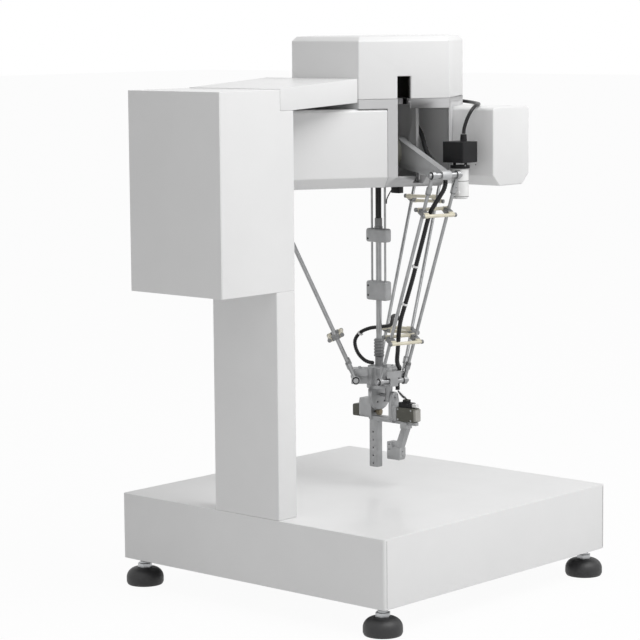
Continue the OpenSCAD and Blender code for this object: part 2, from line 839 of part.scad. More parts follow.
// Hub with three brackets, and a guard plate in line with the sector at rest
module platform() {
    cap_half = 15;
    lug_half = 8;
    root_r = hub_d / 2 - 10;
    axle_bore = axle_d + 2 * run_gap;
    color("#c2c4c6") at_robot() difference() {
        union() {
            translate([0, 0, hub_bottom_z]) cylinder(h = hub_top_z - hub_bottom_z, d = hub_d);
            for (angle = arm_angles) {
                rotate([0, 0, angle]) {
                    block([root_r, -cap_half, platform_z + axle_d / 2 + 1],
                          [platform_r + 7, cap_half, platform_z + axle_d / 2 + 13]);
                    block([root_r, -lug_half, platform_z - axle_d + 1],
                          [platform_r + 7, lug_half, platform_z + axle_d / 2 + 2]);
                }
            }
            block([-sector_t / 2, -hub_d / 2 - 6, hub_bottom_z + 1],
                  [sector_t / 2, -root_r, hub_top_z - 1]);
        }
        translate([0, 0, hub_bottom_z - 1])
            cylinder(h = hub_top_z - hub_bottom_z + 2, d = spigot_d + 2 * run_gap);
        for (angle = arm_angles) {
            rotate([0, 0, angle]) translate([platform_r, 0, platform_z])
                rod_y(-cap_half - 1, cap_half + 1, axle_bore);
        }
    }
}

// Three cross axles; the rods' lower eyes stand against their ends
module platform_axles() {
    color("#d0d0d0") for (k = [0:2]) {
        at_arm(k) translate([platform_r, 0, platform_z]) rod_y(-axle_half, axle_half, axle_d);
    }
}

// ---------- turning shaft ----------

// Hollow hub that hangs in the head's floor and carries the guide rods
module shaft_yoke() {
    color("#b0b2b4") at_robot() difference() {
        union() {
            translate([0, 0, yoke_bottom_z]) cylinder(h = yoke_flange_t, d = yoke_d + 10);
            translate([0, 0, yoke_bottom_z]) cylinder(h = yoke_top_z - yoke_bottom_z, d = yoke_d);
        }
        translate([0, 0, yoke_bottom_z - 1])
            cylinder(h = yoke_top_z - yoke_bottom_z + 2, d = tube_bore_d);
    }
}

module guide_rods() {
    color("#a6a8aa") at_robot() for (side = [-1, 1]) {
        translate([side * guide_spacing / 2, 0, guide_block_z])
            cylinder(h = yoke_bottom_z - guide_block_z, d = guide_rod_d);
    }
}

// A block with bores for the guide rods and clamp screws in its rear face
module shaft_block(z, h, guide_bore) {
    screw_d = 3;
    translate([0, 0, z]) difference() {
        linear_extrude(h) rounded_rect(block_w, block_d, 2);
        for (side = [-1, 1]) {
            translate([side * guide_spacing / 2, 0, -1]) cylinder(h = h + 2, d = guide_bore);
            for (up = [-1, 1]) {
                translate([side * (block_w / 2 - 4), -block_d / 2, h / 2 + up * h * 0.25])
                    rod_y(-1, 3, screw_d);
            }
        }
        children();
    }
}

module guide_block() {
    color("#8e9092") at_robot() shaft_block(guide_block_z, guide_block_h, guide_rod_d + 2 * run_gap)
        translate([0, 0, -1]) cylinder(h = guide_block_h + 2, d = shaft_d + 2 * run_gap);
}

module slide_block() {
    color("#8e9092") at_robot() shaft_block(slide_block_z, slide_block_h, guide_rod_d + 2 * run_gap)
        translate([0, 0, -1]) cylinder(h = shaft_socket + 1, d = shaft_d + 2 * run_gap);
}

module sliding_shaft() {
    color("#9a9c9e") at_robot() translate([0, 0, coupling_top_z])
        cylinder(h = slide_block_z + shaft_socket - seat_gap - coupling_top_z, d = shaft_d);
}

// Cable tube with the cone that stands on the sliding block
module cable_tube() {
    color("#1d1d1e") at_robot() {
        translate([0, 0, slide_block_top_z + seat_gap]) cylinder(h = cone_h, d1 = 20, d2 = tube_d);
        translate([0, 0, slide_block_top_z + cone_h])
            cylinder(h = tube_top_z - slide_block_top_z - cone_h, d = tube_d);
    }
}

// Ribbed coupling with the spigot that turns in the platform
module shaft_coupling() {
    rib_pitch = 5;
    ribs = floor(coupling_l / rib_pitch);
    color("#5d5f61") at_robot() {
        translate([0, 0, coupling_bottom_z]) rotate_extrude() polygon(concat(
            [[0, 0]],
            [for (i = [0:ribs - 1])
                for (p = [[coupling_d / 2, 0.2], [coupling_d / 2, 0.72],
                          [coupling_d / 2 - 1.2, 0.78], [coupling_d / 2 - 1.2, 0.98]])
                    [p[0], (i + p[1]) * coupling_l / ribs]],
            [[shaft_d / 2, coupling_l], [0, coupling_l]]));
        translate([0, 0, flange_top_z]) cylinder(h = coupling_bottom_z + eps - flange_top_z, d = spigot_d);
    }
}

// ---------- wrist ----------

// Flange, toothed half-round sector and bearing post, turned by the shaft
module wrist_sector() {
    half_step = 180 / sector_teeth;
    count = floor(sector_teeth / 4) - 1;
    web_h = flange_top_z - flange_t - tilt_z + eps;
    color("#a8aaac") at_robot() difference() {
        union() {
            translate([0, 0, flange_top_z - flange_t]) cylinder(h = flange_t, d = 44);
            translate([0, 0, tilt_z]) along_x(-sector_t / 2, sector_t / 2) {
                intersection() {
                    circle(pitch_r - tooth_module * 1.15, $fn = 96);
                    translate([-pitch_r, -pitch_r]) square([2 * pitch_r, pitch_r + web_h]);
                }
                translate([-pitch_r + tooth_module, 0])
                    square([2 * (pitch_r - tooth_module), web_h]);
                rotate(-90) polygon(concat([[0, 0]], gear_points(
                    sector_teeth, -count, count, pitch_r + tooth_module * 0.75,
                    pitch_r - tooth_module * 1.2, half_step * 0.24, half_step * 0.66)));
            }
            translate([bearing_post_x, 0, tilt_z - 11])
                cylinder(h = flange_top_z - tilt_z + 11, d = 13);
            block([bearing_post_x - 6, -6, flange_top_z - flange_t], [bearing_post_x, 6, flange_top_z]);
        }
        translate([0, 0, tilt_z]) rod_x(-10, 40, tilt_pin_d + 2 * run_gap);
        for (y = [-9, 9]) {
            translate([0, y, tilt_z - 12]) rod_x(-10, 10, 4);
        }
    }
}

// Two cheeks and a cross bar that swing on the tilt pin, with the gripper's rail
module tilt_frame() {
    cheek_r = 8;
    body_half = 12;
    bar_half = 9;
    hinge_bore = tilt_pin_d + 2 * run_gap;
    module cheek(half, low_z) {
        circle(cheek_r);
        polygon([[-cheek_r, 0], [cheek_r, 0], [half, -14], [half, low_z - tilt_z + 4],
                 [half - 4, low_z - tilt_z], [-half + 4, low_z - tilt_z],
                 [-half, low_z - tilt_z + 4], [-half, -14]]);
    }
    color("#adafb1") at_robot() {
        difference() {
            union() {
                translate([0, 0, tilt_z]) {
                    along_x(left_cheek_x, left_cheek_x + cheek_t) cheek(body_half, cross_bar_z);
                    along_x(right_cheek_x, right_cheek_x + cheek_t) cheek(body_half, grip_motor_z);
                    along_x(left_cheek_x - 22, left_cheek_x + eps) intersection() {
                        cheek(body_half, cross_bar_z + 4);
                        translate([-20, -60]) square([40, 52]);
                    }
                }
                block([left_cheek_x, -bar_half, cross_bar_z],
                      [right_cheek_x + cheek_t, bar_half, cross_bar_top_z]);
                block([right_cheek_x, -10, grip_motor_z], [grip_motor_x - seat_gap, 10, motor_z + 14]);
                block([right_cheek_x, -rail_w / 2, rail_z],
                      [grip_motor_x + grip_motor_l + 2, rail_w / 2, grip_motor_z - seat_gap]);
                block([right_cheek_x, -rail_w / 2, rail_z],
                      [grip_motor_x - seat_gap, rail_w / 2, grip_motor_z + 2]);
            }
            translate([0, 0, tilt_z]) rod_x(left_cheek_x - 1, right_cheek_x + cheek_t + 1, hinge_bore);
            translate([0, 0, motor_z]) rod_x(left_cheek_x - 30, left_cheek_x + cheek_t + 1, 5.1);
        }
        translate([0, 0, tilt_z]) rod_x(left_cheek_x - 2, right_cheek_x + cheek_t + 3, tilt_pin_d);
    }
}

// Small geared motor of the tilt pinion
module tilt_motor() {
    body_x = left_cheek_x - 22 - seat_gap;
    color("#3a3b3d") at_robot() translate([0, 0, motor_z]) {
        along_x(body_x - 16, body_x) rounded_rect(21, 21, 3);
    }
}

// Pinion on its shaft
module tilt_pinion() {
    half_step = 180 / pinion_teeth;
    color("#c9a95a") at_robot() translate([0, 0, motor_z]) {
        along_x(-sector_t / 2 + 0.5, sector_t / 2 - 0.5) {
            circle(pinion_r - tooth_module * 1.15);
            rotate(90 + half_step) polygon(gear_points(
                pinion_teeth, 0, pinion_teeth - 1, pinion_r + tooth_module * 0.7,
                pinion_r - tooth_module * 1.2, half_step * 0.24, half_step * 0.72));
        }
        rod_x(left_cheek_x - 20, -sector_t / 2 + 0.6, 5);
    }
}

// Gripper motor with its end cap and connectors
module grip_motor() {
    half = 9;
    top_z = grip_motor_z + grip_motor_h;
    end_x = grip_motor_x + grip_motor_l;
    color("#3b3a33") at_robot() {
        block([grip_motor_x, -half, grip_motor_z], [end_x, half, top_z]);
        block([end_x - eps, -half + 1.5, grip_motor_z + 1.5], [end_x + 4, half - 1.5, top_z - 1.5]);
        block([grip_motor_x + 3, -half + 2, top_z - eps], [end_x - 8, half - 2, top_z + 9]);
        block([grip_motor_x + 10, -4, top_z + 8], [grip_motor_x + 20, 6, top_z + 14]);
    }
}

// Straight finger with a row of tapped holes
module fixed_finger() {
    top_z = cross_bar_z - seat_gap;
    bottom_z = top_z - finger_l;
    front = 6;
    color("#b4b6b8") at_robot() difference() {
        block([finger_x, front - finger_d, bottom_z], [finger_x + finger_w, front, top_z]);
        for (i = [0:4]) {
            translate([finger_x + finger_w * 0.45, 0, bottom_z + 6 + i * hole_pitch])
                rod_y(-20, 20, hole_d);
        }
    }
}

// Slider on the rail, slanted arm and jaw block with a notch
module jaw_finger() {
    half = 6;
    jaw_half = 8;
    slider_top = grip_motor_z - seat_gap - 1;
    slider_bottom = rail_z - 7;
    jaw_top = jaw_z + jaw_h;
    color("#b4b6b8") at_robot() difference() {
        union() {
            block([slider_x, -half - 2, slider_bottom], [slider_x + slider_l, half + 2, slider_top]);
            along_y(-half, half) polygon([
                [slider_x + 1, slider_bottom + 1], [slider_x + slider_l - 1, slider_bottom + 1],
                [jaw_x + jaw_w - 1, jaw_top - 12], [jaw_x + jaw_w - 14, jaw_top - 12]
            ]);
            along_y(-jaw_half, jaw_half) polygon([
                [jaw_x, jaw_z + 1], [jaw_x + 1, jaw_z], [jaw_x + jaw_w - 2, jaw_z],
                [jaw_x + jaw_w, jaw_z + 6], [jaw_x + jaw_w, jaw_top - 10],
                [jaw_x + jaw_w - 8, jaw_top - 8], [jaw_x + 15, jaw_top - 8],
                [jaw_x + 12, jaw_top - 12], [jaw_x + 9, jaw_top], [jaw_x + 1, jaw_top],
                [jaw_x, jaw_top - 1]
            ]);
        }
        block([slider_x - 1, -rail_w / 2 - run_gap, rail_z - run_gap],
              [slider_x + slider_l + 1, rail_w / 2 + run_gap, slider_top + 1]);
        for (z = [jaw_z + 7, jaw_z + 14]) {
            translate([jaw_x + jaw_w - 8, 0, z]) rod_x(0, 12, 2.5);
        }
        translate([jaw_x + 4.5, 0, jaw_top - 5]) rod_y(-20, 20, 2.5);
        translate([jaw_x + 4.5, 0, jaw_top - 14]) rod_y(-20, 20, 2.5);
    }
}

// ---------- vision camera and sensor ----------

// Camera body with its cable gland, and the lens ring on two posts below it
module vision_camera() {
    gland_d = 12;
    column_d = 5;
    color("#161617") at_robot() translate([camera_x, camera_y, camera_z]) {
        linear_extrude(camera_h) rounded_rect(camera_w, camera_d, 2);
        translate([5, 3, camera_h - eps]) cylinder(h = 12, d1 = gland_d, d2 = gland_d - 2);
        for (side = [-1, 1]) {
            translate([side * 12, 0, lens_top_z + ring_h - camera_z - eps])
                cylinder(h = camera_z - lens_top_z - ring_h + 2 * eps, d = column_d);
        }
        translate([0, 0, lens_top_z - camera_z]) difference() {
            cylinder(h = ring_h, d = lens_d + 4);
            translate([0, 0, -1])
                cylinder(h = ring_h + 2, d = lens_spigot_d + 2 * run_gap);
        }
    }
}

// Arm from the head's frame to the side of the camera
module camera_bracket() {
    side_y = camera_y + camera_d / 2 + seat_gap;
    color("#9b9da0") at_robot() difference() {
        block([camera_x - 62, side_y, camera_z + 8], [camera_x + 2, side_y + 9, camera_z + 22]);
        translate([0, 0, head_bottom_z]) linear_extrude(frame_h) polygon(head_outline(-seat_gap));
    }
}

// Lens barrel with its focus screw, which turns on the camera's ring
module camera_lens() {
    color("#e8e8e8") at_robot() translate([camera_x, camera_y, lens_top_z - seat_gap - lens_l]) {
        cylinder(h = lens_l, d = lens_d);
        cylinder(h = lens_l + seat_gap + ring_h - 1, d = lens_spigot_d);
        translate([0, 0, -2]) cylinder(h = 2 + eps, d = lens_d - 4);
        rotate([0, 0, -60]) translate([0, 0, 9]) rod_x(lens_d / 2 - 1, lens_d / 2 + 4, 4);
    }
}

// Small sensor under the head's floor
module home_sensor() {
    color("#1a1a1b") at_robot()
        block([34, -6, head_bottom_z - seat_gap - 16], [52, 6, head_bottom_z - seat_gap]);
}

// ---------- cords ----------

module camera_cable() {
    color("#1c1c1d") at_robot() route_tube(camera_cable_route, camera_cable_d, 8);
}

module sensor_cable() {
    color("#1c1c1d") at_robot() route_tube(sensor_cable_route, sensor_cable_d, 8);
}

module arm_hose() {
    color("#202021") at_arm(0) route_tube(arm_hose_route, hose_d, 8);
}

module rod_hose() {
    color("#202021") at_arm(0) route_tube(rod_hose_route, hose_d, 8);
}

module branch_hose() {
    color("#202021") at_robot() route_tube(branch_hose_route, branch_d, 8);
}

module wrist_lead() {
    color("#202021") at_robot() route_tube(wrist_lead_route, lead_d, 8);
}

// ---------- the part ----------

base_cover();
base_frame();
foot_pad(0);  // foot_pad_a
foot_pad(1);  // foot_pad_b
foot_pad(2);  // foot_pad_c
foot_pad(3);  // foot_pad_d
foot_stem(0);  // foot_stem_a
foot_stem(1);  // foot_stem_b
foot_stem(2);  // foot_stem_c
foot_stem(3);  // foot_stem_d
post();
cabinet();
cabinet_cover();
control_units();
beam();
head_frame();
head_cover();
motor_housing(0);  // motor_housing_a
motor_housing(1);  // motor_housing_b
motor_housing(2);  // motor_housing_c
drive_motors();
vision_camera();
camera_bracket();
camera_lens();
camera_cable();
home_sensor();
sensor_cable();
upper_arm(0);  // upper_arm_a
upper_arm(1);  // upper_arm_b
upper_arm(2);  // upper_arm_c
arm_axle(0);  // arm_axle_a
arm_axle(1);  // arm_axle_b
arm_axle(2);  // arm_axle_c
rod_pair(0);  // rod_pair_a
rod_pair(1);  // rod_pair_b
rod_pair(2);  // rod_pair_c
spring_bars(0);  // spring_bars_a
spring_bars(1);  // spring_bars_b
spring_bars(2);  // spring_bars_c
platform();
platform_axles();
shaft_yoke();
guide_rods();
guide_block();
slide_block();
sliding_shaft();
cable_tube();
shaft_coupling();
wrist_sector();
tilt_frame();
tilt_motor();
tilt_pinion();
grip_motor();
fixed_finger();
jaw_finger();
arm_hose();
rod_hose();
branch_hose();
wrist_lead();
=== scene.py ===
"""Dresses the benchtop delta robot: painted covers, bare metal linkage, hoses, camera and stage."""
import math

import bmesh
import bpy
from mathutils import Matrix, Vector


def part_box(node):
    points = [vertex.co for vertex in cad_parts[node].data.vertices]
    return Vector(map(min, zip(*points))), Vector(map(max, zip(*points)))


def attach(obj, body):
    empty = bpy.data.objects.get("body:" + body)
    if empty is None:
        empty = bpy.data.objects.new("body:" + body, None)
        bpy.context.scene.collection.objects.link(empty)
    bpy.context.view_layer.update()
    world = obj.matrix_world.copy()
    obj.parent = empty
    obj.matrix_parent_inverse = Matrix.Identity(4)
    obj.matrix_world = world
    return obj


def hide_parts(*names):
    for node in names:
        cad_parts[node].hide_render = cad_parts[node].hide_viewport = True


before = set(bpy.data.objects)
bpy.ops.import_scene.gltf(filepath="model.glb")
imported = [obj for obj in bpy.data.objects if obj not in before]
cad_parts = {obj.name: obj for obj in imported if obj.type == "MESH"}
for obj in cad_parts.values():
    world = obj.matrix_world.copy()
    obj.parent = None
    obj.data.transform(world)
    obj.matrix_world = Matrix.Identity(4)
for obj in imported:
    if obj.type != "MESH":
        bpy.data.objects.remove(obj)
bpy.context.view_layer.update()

bl_info = {
    "name": "Benchtop delta robot",
    "version": (1, 0, 0),
    "blender": (4, 5, 0),
    "location": "3D View > Sidebar > Delta robot",
    "description": "Builds the finished look of a benchtop delta robot on its CAD frame",
    "category": "Object",
}


def corners(node):
    """The lowest and highest corner of a CAD piece's box"""
    return tuple(Vector(corner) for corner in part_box(node))


def middle(node):
    """The middle of a CAD piece's box"""
    low, high = corners(node)
    return (low + high) / 2


AXIS = middle("shaft_yoke")
AXIS.z = 0.0
BASE_BOTTOM, BASE_TOP = (corner.z for corner in corners("base_cover"))
PLATFORM_Z = middle("platform_axles").z
PLATFORM_R = 0.042
ROD_SPACING = 0.05
ARM_ANGLES = {"a": -17.0, "b": 103.0, "c": 223.0}
ABOUT_X = Matrix.Rotation(math.pi / 2, 4, "X")
ABOUT_Y = Matrix.Rotation(math.pi / 2, 4, "Y")

# Places on a rod pair: spring bars below the upper and over the lower pivot, and lock rings at the ends
TOP_BAR = 0.070
LOW_BAR = 0.084
BAR_REACH = 0.012
LOCK_RING = 0.0335

# Diameters of the cords, and the radius of one thin lead
HOSE_D = 0.008
BRANCH_D = 0.007
CAMERA_CABLE_D = 0.006
SENSOR_CABLE_D = 0.002
LEAD_R = 0.0007

# Routes of the cords, in metres from the robot's axis; the first two in the first arm's own frame
ARM_HOSE = [
    (0.084, 0.0223, 0.806), (0.092, 0.0223, 0.795), (0.102, 0.0223, 0.785), (0.113, 0.019, 0.774),
    (0.125, 0.015, 0.763), (0.137, 0.012, 0.753), (0.149, 0.0113, 0.745), (0.160, 0.0113, 0.738),
]
ROD_HOSE = [
    (0.161, 0.0113, 0.7373), (0.172, 0.0125, 0.729), (0.183, 0.0135, 0.719), (0.191, 0.012, 0.708),
    (0.195, 0.006, 0.696), (0.193, -0.001, 0.684), (0.187, -0.007, 0.671), (0.178, -0.011, 0.655),
    (0.170, -0.012, 0.637), (0.162, -0.012, 0.619), (0.147, -0.012, 0.586), (0.137, -0.012, 0.564),
    (0.126, -0.012, 0.540), (0.114, -0.013, 0.513), (0.104, -0.014, 0.491), (0.094, -0.015, 0.468),
    (0.085, -0.013, 0.448), (0.076, -0.009, 0.429), (0.068, -0.005, 0.410), (0.058, 0.0, 0.393),
    (0.050, 0.006, 0.384), (0.042, 0.013, 0.3785), (0.036, 0.0194, 0.374), (0.031, 0.021, 0.366),
    (0.028, 0.021, 0.355), (0.027, 0.021, 0.345), (0.027, 0.021, 0.334),
]
BRANCH_HOSE = [
    (0.0806, -0.0393, 0.4667), (0.066, -0.031, 0.471), (0.049, -0.020, 0.468), (0.033, -0.003, 0.459),
    (0.017, 0.010, 0.447), (-0.008, 0.013, 0.442), (-0.030, 0.010, 0.438), (-0.047, 0.005, 0.430),
    (-0.057, 0.002, 0.417), (-0.056, 0.001, 0.404), (-0.048, 0.0, 0.392), (-0.036, 0.0, 0.383),
    (-0.025, 0.0, 0.3795), (-0.014, 0.0, 0.379),
]
WRIST_LEAD = [
    (0.0325, 0.0125, 0.332), (0.036, 0.014, 0.3275), (0.042, 0.015, 0.322), (0.050, 0.013, 0.3195),
    (0.057, 0.009, 0.3185),
]
CAMERA_CABLE = [
    (0.191, -0.002, 0.7868), (0.192, -0.001, 0.797), (0.195, 0.003, 0.812), (0.198, 0.010, 0.825),
    (0.196, 0.024, 0.833), (0.186, 0.044, 0.8345), (0.167, 0.070, 0.834), (0.144, 0.097, 0.8335),
    (0.120, 0.120, 0.8335), (0.098, 0.136, 0.834), (0.080, 0.142, 0.835), (0.068, 0.1415, 0.836),
    (0.062, 0.1385, 0.836), (0.061, 0.1351, 0.836),
]
SENSOR_CABLE = [
    (0.0332, 0.0, 0.688), (0.030, 0.0, 0.685), (0.026, 0.0, 0.680), (0.022, 0.0, 0.674),
    (0.019, 0.0, 0.668), (0.0183, 0.0, 0.661),
]

FINISHES = {}


# ---------- shader expressions ----------


class Value:
    """A shader socket that takes part in sums and products."""

    def __init__(self, tree, socket):
        self.tree = tree
        self.socket = socket

    def _join(self, operation, other, swapped=False):
        node = self.tree.nodes.new("ShaderNodeMath")
        node.operation = operation
        pair = (other, self) if swapped else (self, other)
        for socket, value in zip(node.inputs, pair):
            feed(self.tree, socket, value)
        return Value(self.tree, node.outputs[0])

    def __add__(self, other):
        return self._join("ADD", other)

    def __sub__(self, other):
        return self._join("SUBTRACT", other)

    def __rsub__(self, other):
        return self._join("SUBTRACT", other, swapped=True)

    def __mul__(self, other):
        return self._join("MULTIPLY", other)

    __radd__ = __add__
    __rmul__ = __mul__


def feed(tree, socket, value):
    """Gives a socket a plain value, or links an expression to it."""
    if isinstance(value, Value):
        tree.links.new(value.socket, socket)
    else:
        socket.default_value = value


class Finish:
    """A principled material whose surface comes from expressions."""

    def __init__(self, name, color, roughness, metallic=0.0, coat=0.0, shine=0.5):
        self.material = bpy.data.materials.new(name)
        self.material.use_nodes = True
        self.tree = self.material.node_tree
        self.shader = self.tree.nodes["Principled BSDF"]
        self.color = tuple(color)[:3]
        self.shader.inputs["Base Color"].default_value = (*self.color, 1.0)
        self.shader.inputs["Roughness"].default_value = roughness
        self.shader.inputs["Metallic"].default_value = metallic
        self.shader.inputs["Coat Weight"].default_value = coat
        self.shader.inputs["Specular IOR Level"].default_value = shine
        self.material.diffuse_color = (*self.color, 1.0)
        FINISHES[name] = self.material

    def node(self, kind, settings=None, values=None, output=0):
        node = self.tree.nodes.new(kind)
        for key, value in (settings or {}).items():
            if key == "stops":
                for stop, (place, shade) in zip(node.color_ramp.elements, value):
                    stop.position = place
                    stop.color = (shade, shade, shade, 1.0)
            else:
                setattr(node, key, value)
        for key, value in (values or {}).items():
            feed(self.tree, node.inputs[key], value)
        return Value(self.tree, node.outputs[output])

    def place(self, stretch=(1.0, 1.0, 1.0), output=3):
        spot = self.node("ShaderNodeTexCoord", output=output)
        return self.node("ShaderNodeMapping", values={"Vector": spot, "Scale": stretch})

    def noise(self, scale, detail=2.0, stretch=(1.0, 1.0, 1.0)):
        return self.node("ShaderNodeTexNoise", values={
            "Vector": self.place(stretch), "Scale": scale, "Detail": detail, "Roughness": 0.55})

    def ramp(self, value, low, high):
        return self.node("ShaderNodeValToRGB", {"stops": [(low, 0.0), (high, 1.0)]}, {"Fac": value})

    def tint(self, other, amount):
        mixed = self.node("ShaderNodeMix", {"data_type": "RGBA"}, {
            0: amount, 6: (*self.color, 1.0), 7: (*other, 1.0)}, output=2)
        feed(self.tree, self.shader.inputs["Base Color"], mixed)

    def roughen(self, value):
        feed(self.tree, self.shader.inputs["Roughness"], value)

    def bump(self, height, strength, depth):
        node = self.node("ShaderNodeBump", values={
            "Height": height, "Strength": strength, "Distance": depth})
        feed(self.tree, self.shader.inputs["Normal"], node)


def scaled(color, factor):
    """A colour made darker or lighter, with no part over 1."""
    return tuple(min(1.0, c * factor) for c in tuple(color)[:3])


def paint(name, color, roughness):
    """Powder coat: a fine orange peel and faint cloudiness."""
    coat = Finish(name, color, roughness, coat=0.15)
    cloud = coat.noise(9.0, 3.0)
    peel = coat.noise(620.0, 2.0)
    coat.tint(scaled(color, 0.955), coat.ramp(cloud, 0.35, 0.75) * 0.6)
    coat.roughen(roughness - 0.04 + cloud * 0.1)
    coat.bump(peel, 0.16, 0.00012)


def bare_metal(name, color, roughness, stretch=(1.0, 1.0, 1.0), mark=0.85, metallic=1.0):
    """Turned or milled metal: fine tool marks, darker patches and uneven gloss."""
    metal = Finish(name, color, roughness, metallic=metallic)
    marks = metal.noise(900.0, 3.0, stretch)
    cloud = metal.noise(60.0, 3.0)
    metal.tint(scaled(color, mark), metal.ramp(cloud, 0.38, 0.7) * 0.7)
    metal.roughen(roughness - 0.08 + marks * 0.12 + cloud * 0.08)
    metal.bump(marks, 0.25, 0.00006)


def moulded(name, color, roughness, grain=1400.0, depth=0.00006, shine=0.5):
    """Moulded plastic or rubber with a fine grain."""
    plastic = Finish(name, color, roughness, shine=shine)
    fine = plastic.noise(grain, 2.0)
    cloud = plastic.noise(45.0, 2.0)
    plastic.tint(scaled(color, 1.35), plastic.ramp(cloud, 0.42, 0.75) * 0.5)
    plastic.roughen(roughness - 0.05 + fine * 0.12)
    plastic.bump(fine, 0.3, depth)


def make_finishes(colors):
    """Every finish of the robot, by name."""
    paint("white_paint", colors.white, 0.42)
    paint("grey_paint", colors.grey, 0.45)
    bare_metal("milled", colors.metal, 0.45, mark=0.8, metallic=0.55)
    bare_metal("cast", scaled(colors.metal, 1.2), 0.5, mark=0.9, metallic=0.3)
    bare_metal("turned", scaled(colors.metal, 0.95), 0.33, stretch=(1.0, 1.0, 0.08), mark=0.75)
    bare_metal("anodised_dark", colors.dark_metal, 0.5, mark=0.75, metallic=0.5)
    bare_metal("anodised_grey", scaled(colors.dark_metal, 1.8), 0.5, mark=0.8, metallic=0.45)
    bare_metal("zinc", (0.50, 0.51, 0.52), 0.36, mark=0.7)
    bare_metal("brass", (0.27, 0.235, 0.175), 0.42)
    moulded("black_plastic", (0.011, 0.011, 0.012), 0.42, shine=0.22)
    moulded("hose_black", (0.009, 0.009, 0.010), 0.36, grain=700.0, shine=0.35)
    moulded("motor_black", (0.105, 0.104, 0.088), 0.5, shine=0.25)
    moulded("rubber", (0.028, 0.028, 0.029), 0.5, grain=330.0, depth=0.0009, shine=0.5)
    moulded("cream", colors.cream, 0.4)
    moulded("white_plastic", (0.78, 0.78, 0.775), 0.36)
    moulded("pale_grey_plastic", (0.36, 0.355, 0.33), 0.4)
    glass = Finish("lens_glass", (0.012, 0.014, 0.02), 0.06, coat=1.0)
    glass.roughen(0.05 + glass.noise(300.0) * 0.04)
    # Near-black finish: the real dark joints of the base's seams, and painted shade in the guide
    # blocks' screw holes
    dark = Finish("dark_joint_and_hole_shade", (0.02, 0.02, 0.021), 0.8)
    dark.roughen(0.7 + dark.noise(120.0) * 0.2)


# ---------- mesh helpers ----------


def piece(name, mesh_or_bm, finish, body=None, nodes=()):
    """A new object with its finish, which rides on a body and stands for CAD pieces."""
    if isinstance(mesh_or_bm, bmesh.types.BMesh):
        mesh = bpy.data.meshes.new(name)
        mesh_or_bm.to_mesh(mesh)
        mesh_or_bm.free()
    else:
        mesh = mesh_or_bm
    obj = bpy.data.objects.new(name, mesh)
    bpy.context.scene.collection.objects.link(obj)
    if not mesh.materials:
        mesh.materials.append(FINISHES[finish])
    if body:
        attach(obj, body)
        if nodes:
            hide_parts(*nodes)
    return obj


def smooth_by_angle(mesh, degrees=32.0):
    """Smooth shading, with the edges sharper than an angle left crisp."""
    for face in mesh.polygons:
        face.use_smooth = True
    mesh.set_sharp_from_angle(angle=math.radians(degrees))


def softened(node, finish, body, width, segments=2):
    """A copy of a CAD piece with its edges rounded, which stands for it."""
    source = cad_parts[node]
    bm = bmesh.new()
    bm.from_mesh(source.data)
    bmesh.ops.remove_doubles(bm, verts=bm.verts[:], dist=2e-6)
    bmesh.ops.dissolve_limit(bm, angle_limit=math.radians(0.6), verts=bm.verts[:], edges=bm.edges[:])
    mesh = bpy.data.meshes.new(node + "_round")
    bm.to_mesh(mesh)
    bm.free()
    obj = piece(node + "_skin", mesh, finish, body, (node,))
    if width:
        bevel = obj.modifiers.new("edges", "BEVEL")
        bevel.width = width
        bevel.segments = segments
        bevel.limit_method = "ANGLE"
        bevel.angle_limit = math.radians(30.0)
        bevel.use_clamp_overlap = True
        settle(obj)
    smooth_by_angle(obj.data, 40.0)


def settle(obj):
    """Applies an object's modifiers into a plain mesh."""
    bpy.context.view_layer.update()
    graph = bpy.context.evaluated_depsgraph_get()
    mesh = bpy.data.meshes.new_from_object(obj.evaluated_get(graph))
    obj.modifiers.clear()
    obj.data = mesh


def turned(bm, profile, matrix, sides=32):
    """Adds a lathe shape, radius and height pairs from one axis point to the other."""
    rings = []
    for radius, height in profile:
        if radius < 1e-7:
            rings.append([bm.verts.new(matrix @ Vector((0.0, 0.0, height)))])
        else:
            rings.append([bm.verts.new(matrix @ Vector((
                radius * math.cos(2 * math.pi * i / sides),
                radius * math.sin(2 * math.pi * i / sides), height))) for i in range(sides)])
    for one, two in zip(rings, rings[1:]):
        for i in range(sides):
            j = (i + 1) % sides
            if len(one) == 1 and len(two) == 1:
                continue
            if len(one) == 1:
                bm.faces.new((one[0], two[j], two[i])[::-1])
            elif len(two) == 1:
                bm.faces.new((one[i], one[j], two[0]))
            else:
                bm.faces.new((one[i], one[j], two[j], two[i]))


def lathed(profile, matrix=Matrix.Identity(4), sides=32):
    """A lathe shape on its own, with its faces outwards."""
    bm = bmesh.new()
    turned(bm, profile, matrix, sides)
    bmesh.ops.recalc_face_normals(bm, faces=bm.faces[:])
    return bm


def box_shape(bm, low, high, matrix=Matrix.Identity(4), edge=0.0, segments=2):
    """Adds a box, with its edges bevelled."""
    made = set(bmesh.ops.create_cube(bm, size=1.0)["verts"])
    low, high = Vector(low), Vector(high)
    for vert in made:
        vert.co = low + Vector((
            (vert.co.x + 0.5) * (high.x - low.x), (vert.co.y + 0.5) * (high.y - low.y),
            (vert.co.z + 0.5) * (high.z - low.z)))
    if edge:
        edges = [e for e in bm.edges if e.verts[0] in made]
        rounded = bmesh.ops.bevel(bm, geom=edges, offset=edge, segments=segments, affect="EDGES",
                                  profile=0.5)
        made = set(rounded["verts"])
    for vert in made:
        vert.co = matrix @ vert.co


def spot(origin, direction):
    """A matrix at origin whose Z runs along direction."""
    turn = Vector(direction).to_track_quat("Z", "Y").to_matrix().to_4x4()
    return Matrix.Translation(Vector(origin)) @ turn


def arm_matrix(key):
    """An arm's own frame: origin on the robot's axis at floor level, arm along X."""
    return Matrix.Translation(AXIS) @ Matrix.Rotation(math.radians(ARM_ANGLES[key]), 4, "Z")


